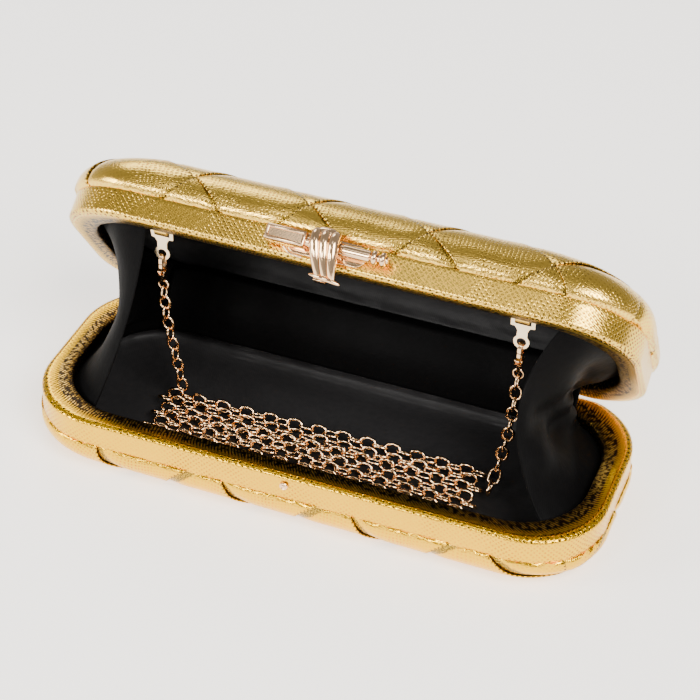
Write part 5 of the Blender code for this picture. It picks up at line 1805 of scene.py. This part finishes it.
@dataclass
class KnotClasp:
    """The knot, its bar with two rings, the plate behind it, the spring wire and the catch stud."""

    looks: Looks
    centre: Vector = field(default_factory=lambda: Vector((-2.5, -81.5, 5.9)) * MM)
    bar_size: float = 5.2 * MM
    bar_span: Pair = (-20.0 * MM, -6.2 * MM)
    bar_bevel: float = 0.6 * MM
    groove_margin: float = 1.25 * MM
    groove_depth: float = 0.65 * MM
    groove_slope: float = 0.12 * MM
    rod_radius: float = 2.0 * MM
    core_radius: float = 1.6 * MM
    tip_radius: float = 1.1 * MM
    rod_end: float = 21.3 * MM
    rod_sunk: float = 0.4 * MM
    rod_bevel: float = 0.25 * MM
    ring_gap: float = 0.3 * MM
    ring_width: float = 2.0 * MM
    ring_radius: float = 2.45 * MM
    ring_pitch: float = 2.9 * MM
    plate: Triple = (13.5 * MM, 3.8 * MM, 0.8 * MM)
    plate_gap: float = 0.3 * MM
    plate_bevel: float = 0.22 * MM
    plate_steps: int = 48
    square_edge: float = math.radians(80)
    plate_edge: float = math.radians(60)
    strand_pitch: float = 3.3 * MM
    strand_radius: float = 1.85 * MM
    orbit: float = 4.1 * MM
    drop: float = 10.3 * MM
    strand_lean: float = 3.2 * MM
    foot_length: float = 10.8 * MM
    foot_radius: float = 0.95 * MM
    foot_tilt: float = 1.2 * MM
    strand_steps: int = 44
    strand_sides: int = 22
    wrap: Pair = (math.radians(96.0), math.radians(205.0))
    wrap_share: float = 0.55
    tail_reach: float = 0.93
    tail_power: float = 1.6
    gather: float = 0.35
    thin_end: float = 0.46
    hump: Pair = (0.05, 0.83)
    hump_power: float = 0.8
    strand_flatness: float = 0.96
    cap_flatness: float = 0.95
    cap_fill: float = 1.02
    cap_steps: int = 26
    foot_thin_end: float = 0.25
    foot_power: float = 0.6
    foot_flatness: float = 0.85
    foot_steps: int = 24
    foot_sides: int = 14
    hub: tuple = ((-5.0, 1.9), (-5.0, 2.3), (-4.8, 2.5), (4.8, 2.5), (5.0, 2.3), (5.0, 1.9))
    cap: tuple[float, ...] = (3.7 * MM, -1.3 * MM, 3.5 * MM, 0.5 * MM, 2.3 * MM)
    lip_centre: Triple = (1.7 * MM, 1.2 * MM, -11.35 * MM)
    lip_size: Triple = (4.0 * MM, 2.9 * MM, 0.9 * MM)
    lip_bevel: float = 0.15 * MM
    spring_marks: tuple = ((-13.05, 0.75), (-10.57, 2.4), (-6.15, 3.0))
    spring_radius: float = 0.42 * MM
    spring_steps: int = 24
    spring_sides: int = 12
    sharp: float = 35.0
    stud_profile: tuple = (
        (0.3, 1.45), (0.75, 1.45), (0.95, 1.3), (1.0, 1.05), (0.85, 0.85), (1.05, 0.6), (1.15, 0.3),
    )
    stud_centre: Triple = (-1.8 * MM, -FORM.half_depth, 17.8 * MM)

    def settle(self, bm: BMesh) -> None:
        """Moves a mesh from the clasp's own place to the open lid.

        Args:
            bm: The mesh.
        """
        close_seams(bm)
        turn = Matrix.Rotation(-FORM.lid_open, 4, "X")
        hinge = Matrix.Translation((0.0, FORM.hinge_y, FORM.hinge_z))
        bmesh.ops.transform(bm, matrix=hinge @ turn @ Matrix.Translation(self.centre), verts=bm.verts)

    def show(self, bm: BMesh, name: str, body: str, node: str, sharp: float = 35.0) -> None:
        """Finishes a piece of the clasp.

        Args:
            bm: Its mesh.
            name: Its name.
            body: The body that it rides on.
            node: The node that it stands for.
            sharp: Angle above which an edge stays sharp.
        """
        self.settle(bm)
        item = finish_mesh(bm, name, self.looks.rose, sharp)
        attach(item, body)
        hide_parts(node)

    def bar(self) -> None:
        """The square bar with its sunk panel and the rod through the knot."""
        bm = bmesh.new()
        first, last = self.bar_span
        size = Vector((last - first, self.bar_size, self.bar_size))
        middle = Vector(((first + last) / 2, 0.0, 0.0))
        bmesh.ops.create_cube(bm, size=1.0, matrix=Matrix.Translation(middle) @ Matrix.Diagonal((*size, 1.0)))
        front = min(bm.faces, key=lambda face: face.calc_center_median().y)
        bmesh.ops.inset_individual(bm, faces=[front], thickness=self.groove_margin, use_even_offset=True)
        bmesh.ops.inset_individual(bm, faces=[front], thickness=self.groove_slope, depth=-self.groove_depth)
        outer = [e for e in bm.edges if e.is_convex and e.calc_face_angle() > self.square_edge]
        round_edges(bm, outer, self.bar_bevel, 3)
        tip, full, edge = self.rod_end - 2 * self.ring_pitch, self.rod_radius, self.rod_bevel
        rod = [(last - self.rod_sunk, self.core_radius), (-last, self.core_radius), (-last, full - edge)]
        rod += [(-last + edge, full), (tip - self.ring_gap, full), (tip, full - self.ring_gap)]
        rod += [(tip, self.tip_radius), (self.rod_end, self.tip_radius)]
        turn_profile(bm, rod, False)
        self.show(bm, "clasp_bar_polished", "lid", "clasp_bar", sharp=30.0)

    def rings(self) -> None:
        """The two rings on the rod's end."""
        tip = self.rod_end - 2 * self.ring_pitch
        for number, name in enumerate(("inner", "outer")):
            bm = bmesh.new()
            start = tip + self.ring_gap + number * self.ring_pitch
            bore = self.tip_radius + self.ring_gap
            turn_profile(bm, rounded_ring(start, self.ring_width, bore, self.ring_radius), True)
            self.show(bm, f"rod_ring_{name}", "lid", f"bar_ring_{name}")

    def back_plate(self) -> None:
        """The long rounded plate on the rim band behind the bar."""
        half_long, half_high, thick = self.plate
        bm = bmesh.new()
        lay = Matrix.Rotation(math.pi / 2, 4, "X")
        bmesh.ops.create_circle(bm, cap_ends=True, radius=half_high, segments=self.plate_steps, matrix=lay)
        for vert in bm.verts:
            if abs(vert.co.x) > SAME_PLACE:
                vert.co.x += math.copysign(half_long - half_high, vert.co.x)
        front = -FORM.half_depth - self.plate_gap - thick - FORM.hinge_y - self.centre.y
        bmesh.ops.translate(bm, verts=bm.verts, vec=(0.0, front, 0.0))
        grown = bmesh.ops.extrude_face_region(bm, geom=bm.faces[:])
        fresh = [g for g in grown["geom"] if isinstance(g, bmesh.types.BMVert)]
        bmesh.ops.translate(bm, verts=fresh, vec=(0.0, thick, 0.0))
        bmesh.ops.recalc_face_normals(bm, faces=bm.faces)
        rim = [e for e in bm.edges if e.calc_face_angle(0.0) > self.plate_edge]
        round_edges(bm, rim, self.plate_bevel, 3)
        self.show(bm, "oval_plate", "lid", "clasp_plate")

    def strand_line(self, offset: float) -> np.ndarray:
        """A strand's middle line, over the bar's front and down to the foot.

        Args:
            offset: Its place along the bar.

        Returns:
            Points from the middle of the bar.
        """
        share = np.linspace(0.0, 1.0, self.strand_steps)
        start, leave = self.wrap
        turn = start + (leave - start) * np.minimum(share / self.wrap_share, 1.0)
        rest = np.clip((share - self.wrap_share) / (1 - self.wrap_share), 0.0, 1.0)
        y = self.orbit * (np.cos(turn) + self.tail_reach * rest ** self.tail_power)
        z = np.where(rest > 0, self.orbit * math.sin(leave), self.orbit * np.sin(turn))
        z = z - (self.drop + self.orbit * math.sin(leave)) * rest
        x = offset * (1 - self.gather * share ** 2) + self.strand_lean * share ** 2
        line = np.stack([x, y, z], axis=-1)
        for _ in range(3):
            line[1:-1] = (line[:-2] + line[1:-1] * 2 + line[2:]) / 4
        return line

    def knot(self) -> None:
        """Three strands laid over the bar, drawn together at the top and on a winged foot."""
        bm = bmesh.new()
        share = np.linspace(0.0, 1.0, self.strand_steps)
        start, span = self.hump
        hump = np.sin(math.pi * (start + span * share)) ** self.hump_power
        flat = self.strand_radius * (self.thin_end + (1 - self.thin_end) * hump)
        for number in (-1, 0, 1):
            line = self.strand_line(number * self.strand_pitch)
            sweep_tube(bm, line, flat, flat * self.strand_flatness, (1.0, 0.0, 0.0), self.strand_sides)
        turn_profile(bm, [(x * MM, radius * MM) for x, radius in self.hub], True)
        cap = np.linspace(-1.0, 1.0, self.cap_steps)
        half_cap, cap_y, cap_z, cap_bow, cap_radius = self.cap
        cap_line = np.stack([cap * half_cap, cap_y + 0 * cap, cap_z - cap_bow * cap ** 2], axis=-1)
        cap_size = cap_radius * np.sqrt(np.clip(self.cap_fill - cap ** 4, 0.0, 1.0))
        sweep_tube(bm, cap_line, cap_size, cap_size * self.cap_flatness, (0.0, 1.0, 0.0), self.strand_sides)
        end_y = self.strand_line(0.0)[-1, 1]
        run = np.linspace(0.0, 1.0, self.foot_steps)
        foot_x = self.strand_lean + self.foot_length * (run - 0.5)
        foot_y = end_y - self.foot_radius * np.sin(math.pi * run)
        foot = np.stack([foot_x, foot_y, -self.drop - self.foot_tilt * run], axis=-1)
        hump = np.sin(math.pi * run) ** self.foot_power
        wide = self.foot_radius * (self.foot_thin_end + (1 - self.foot_thin_end) * hump)
        sweep_tube(bm, foot, wide, wide * self.foot_flatness, (0.0, 1.0, 0.0), self.foot_sides)
        size = Matrix.Diagonal((*self.lip_size, 1.0))
        lip = Matrix.Translation(self.lip_centre) @ size
        made = bmesh.ops.create_cube(bm, size=1.0, matrix=lip)["verts"]
        round_edges(bm, list({e for v in made for e in v.link_edges}), self.lip_bevel, 2)
        self.show(bm, "knot_polished", "knot", "knot_lever", sharp=50.0)

    def spring(self) -> None:
        """The end of the spring wire below the bar."""
        marks = [(x * MM, 0.0, -self.bar_size / 2 - drop * MM) for x, drop in self.spring_marks]
        line = along_curve(np.array(marks), self.spring_steps)
        bm = bmesh.new()
        wire = np.full(len(line), self.spring_radius)
        sweep_tube(bm, line, wire, wire, (0.0, 1.0, 0.0), self.spring_sides)
        self.show(bm, "spring_wire", "lid", "latch_spring")

    def stud(self) -> None:
        """The low round catch stud on the front of the lower band."""
        bm = bmesh.new()
        turn_profile(bm, [(x * MM, radius * MM) for x, radius in self.stud_profile], False)
        close_seams(bm)
        place = Matrix.Translation(self.stud_centre) @ Matrix.Rotation(-math.pi / 2, 4, "Z")
        bmesh.ops.transform(bm, matrix=place, verts=bm.verts)
        item = finish_mesh(bm, "catch_stud_turned", self.looks.rose, self.sharp)
        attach(item, Half.LOWER.value)
        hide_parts("catch_stud")

    def build(self) -> None:
        """Builds the clasp."""
        self.bar()
        self.rings()
        self.back_plate()
        self.knot()
        self.spring()
        self.stud()


@dataclass
class StrapFittings:
    """Tabs, their leather loops, the lobster clasps and the jump rings."""

    looks: Looks
    ring_radius: float = 1.75 * MM
    ring_wire: float = 0.38 * MM
    ring_steps: int = 32
    ring_sides: int = 10
    edge: float = 0.16 * MM
    lever_edge: float = 0.1 * MM
    loop_edge: float = 0.12 * MM
    same_face: float = math.radians(1.0)
    rounded_from: float = math.radians(50)
    sharp: float = 20.0

    def rounded(self, node: str, name: str, body: str, look: bpy.types.Material,
                edge: float) -> None:
        """A copy of a node with its faces joined and its edges rounded.

        Args:
            node: The node.
            name: Name of the new piece.
            body: The body that it rides on.
            look: Its material.
            edge: How far its edges are rounded.
        """
        bm = bmesh.new()
        bm.from_mesh(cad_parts[node].data)
        bmesh.ops.remove_doubles(bm, verts=bm.verts, dist=SAME_PLACE)
        bmesh.ops.dissolve_limit(bm, angle_limit=self.same_face, verts=bm.verts, edges=bm.edges)
        bmesh.ops.recalc_face_normals(bm, faces=bm.faces)
        rim = [e for e in bm.edges if e.is_manifold and e.calc_face_angle() > self.rounded_from]
        round_edges(bm, rim, edge, 2, clamp_overlap=True)
        item = finish_mesh(bm, name, look, self.sharp)
        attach(item, body)
        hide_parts(node)

    def jump_ring(self, name: str) -> None:
        """The round ring between clasp and chain.

        Args:
            name: The side's name.
        """
        low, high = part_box(f"jump_ring_{name}")
        middle = (np.array(low) + np.array(high)) / 2
        turn = np.linspace(0.0, math.tau, self.ring_steps + 1)
        bend = np.linspace(0.0, math.tau, self.ring_sides + 1)
        outward = np.stack([np.cos(turn), 0 * turn, np.sin(turn)], axis=-1)[:, None]
        lift = np.cos(bend)[:, None] * outward + np.sin(bend)[:, None] * np.array([0.0, 1.0, 0.0])
        bm = bmesh.new()
        lay_grid(bm, middle + outward * self.ring_radius + lift * self.ring_wire, bend, turn)
        close_seams(bm)
        item = finish_mesh(bm, f"round_ring_{name}", self.looks.rose)
        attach(item, f"clasp_{name}")
        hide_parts(f"jump_ring_{name}")

    def build(self) -> None:
        """Builds the fittings of both sides."""
        rose, pale, loop = self.looks.rose, self.looks.pale, self.looks.loop
        pieces = (
            ("strap_tab", "tab_plate", "tab_{}", pale, "pale_gold", self.edge),
            ("lobster_body", "hook", "clasp_{}", rose, "rose_gold", self.edge),
            ("lobster_lever", "trigger", "lever_{}", rose, "rose_gold", self.lever_edge),
            ("strap_anchor", "tab_loop", "lid", loop, "gold_leather", self.loop_edge),
        )
        for name in ("left", "right"):
            for node, piece, body, look, slot, edge in pieces:
                self.rounded(f"{node}_{name}", f"{piece}_{name}", body.format(name), look, edge)
            self.jump_ring(name)


def dress_nodes(looks: Looks) -> None:
    """Gives every node that is still shown its material.

    Args:
        looks: The bag's materials.
    """
    table = (
        (("strap_anchor",), looks.gold[Half.LID]),
        (("lining", "gusset"), looks.satin),
        (("shell_core",), looks.board),
        (("frame", "hinge"), looks.steel),
        (("strap_tab",), looks.pale),
    )
    for name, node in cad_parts.items():
        fitting = (look for words, look in table if any(word in name for word in words))
        node.data.materials.clear()
        node.data.materials.append(next(fitting, looks.rose))


def main() -> None:
    """Builds the whole picture."""
    logging.basicConfig(level=logging.INFO, format="%(name)s: %(message)s")
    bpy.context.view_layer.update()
    Studio().build()
    looks = Looks()
    dress_nodes(looks)
    for half in Half:
        RimBand(half, looks).build()
    WovenCover(Half.LID, looks).build()
    WovenCover(Half.LOWER, looks, repeat=46 * MM, phase_fall=12.0 * MM, phase_rise=25.0 * MM,
               wall_bulge=0.1 * MM, tuck=0.45 * MM, tuck_height=0.6 * MM, hollow=3.4 * MM).build()
    for half in Half:
        Lining(half, looks).build()
    GussetCloth("gusset_left", side=-1, lower_turn=22.0, lid_turn=1.0, tuck=3 * MM, bowl=11 * MM,
                fold=0.4 * MM, held="stretched", looks=looks, flat=(85 * MM, 81 * MM)).build()
    GussetCloth("gusset_right", side=1, lower_turn=38.0, lid_turn=22.0, tuck=12.5 * MM, bowl=9 * MM,
                fold=2 * MM, held="gathered", looks=looks, flat=(76 * MM, 83 * MM)).build()
    BackCloth(looks).build()
    ChainWork(looks).build()
    KnotClasp(looks).build()
    StrapFittings(looks).build()


if __name__ == "__main__":
    main()
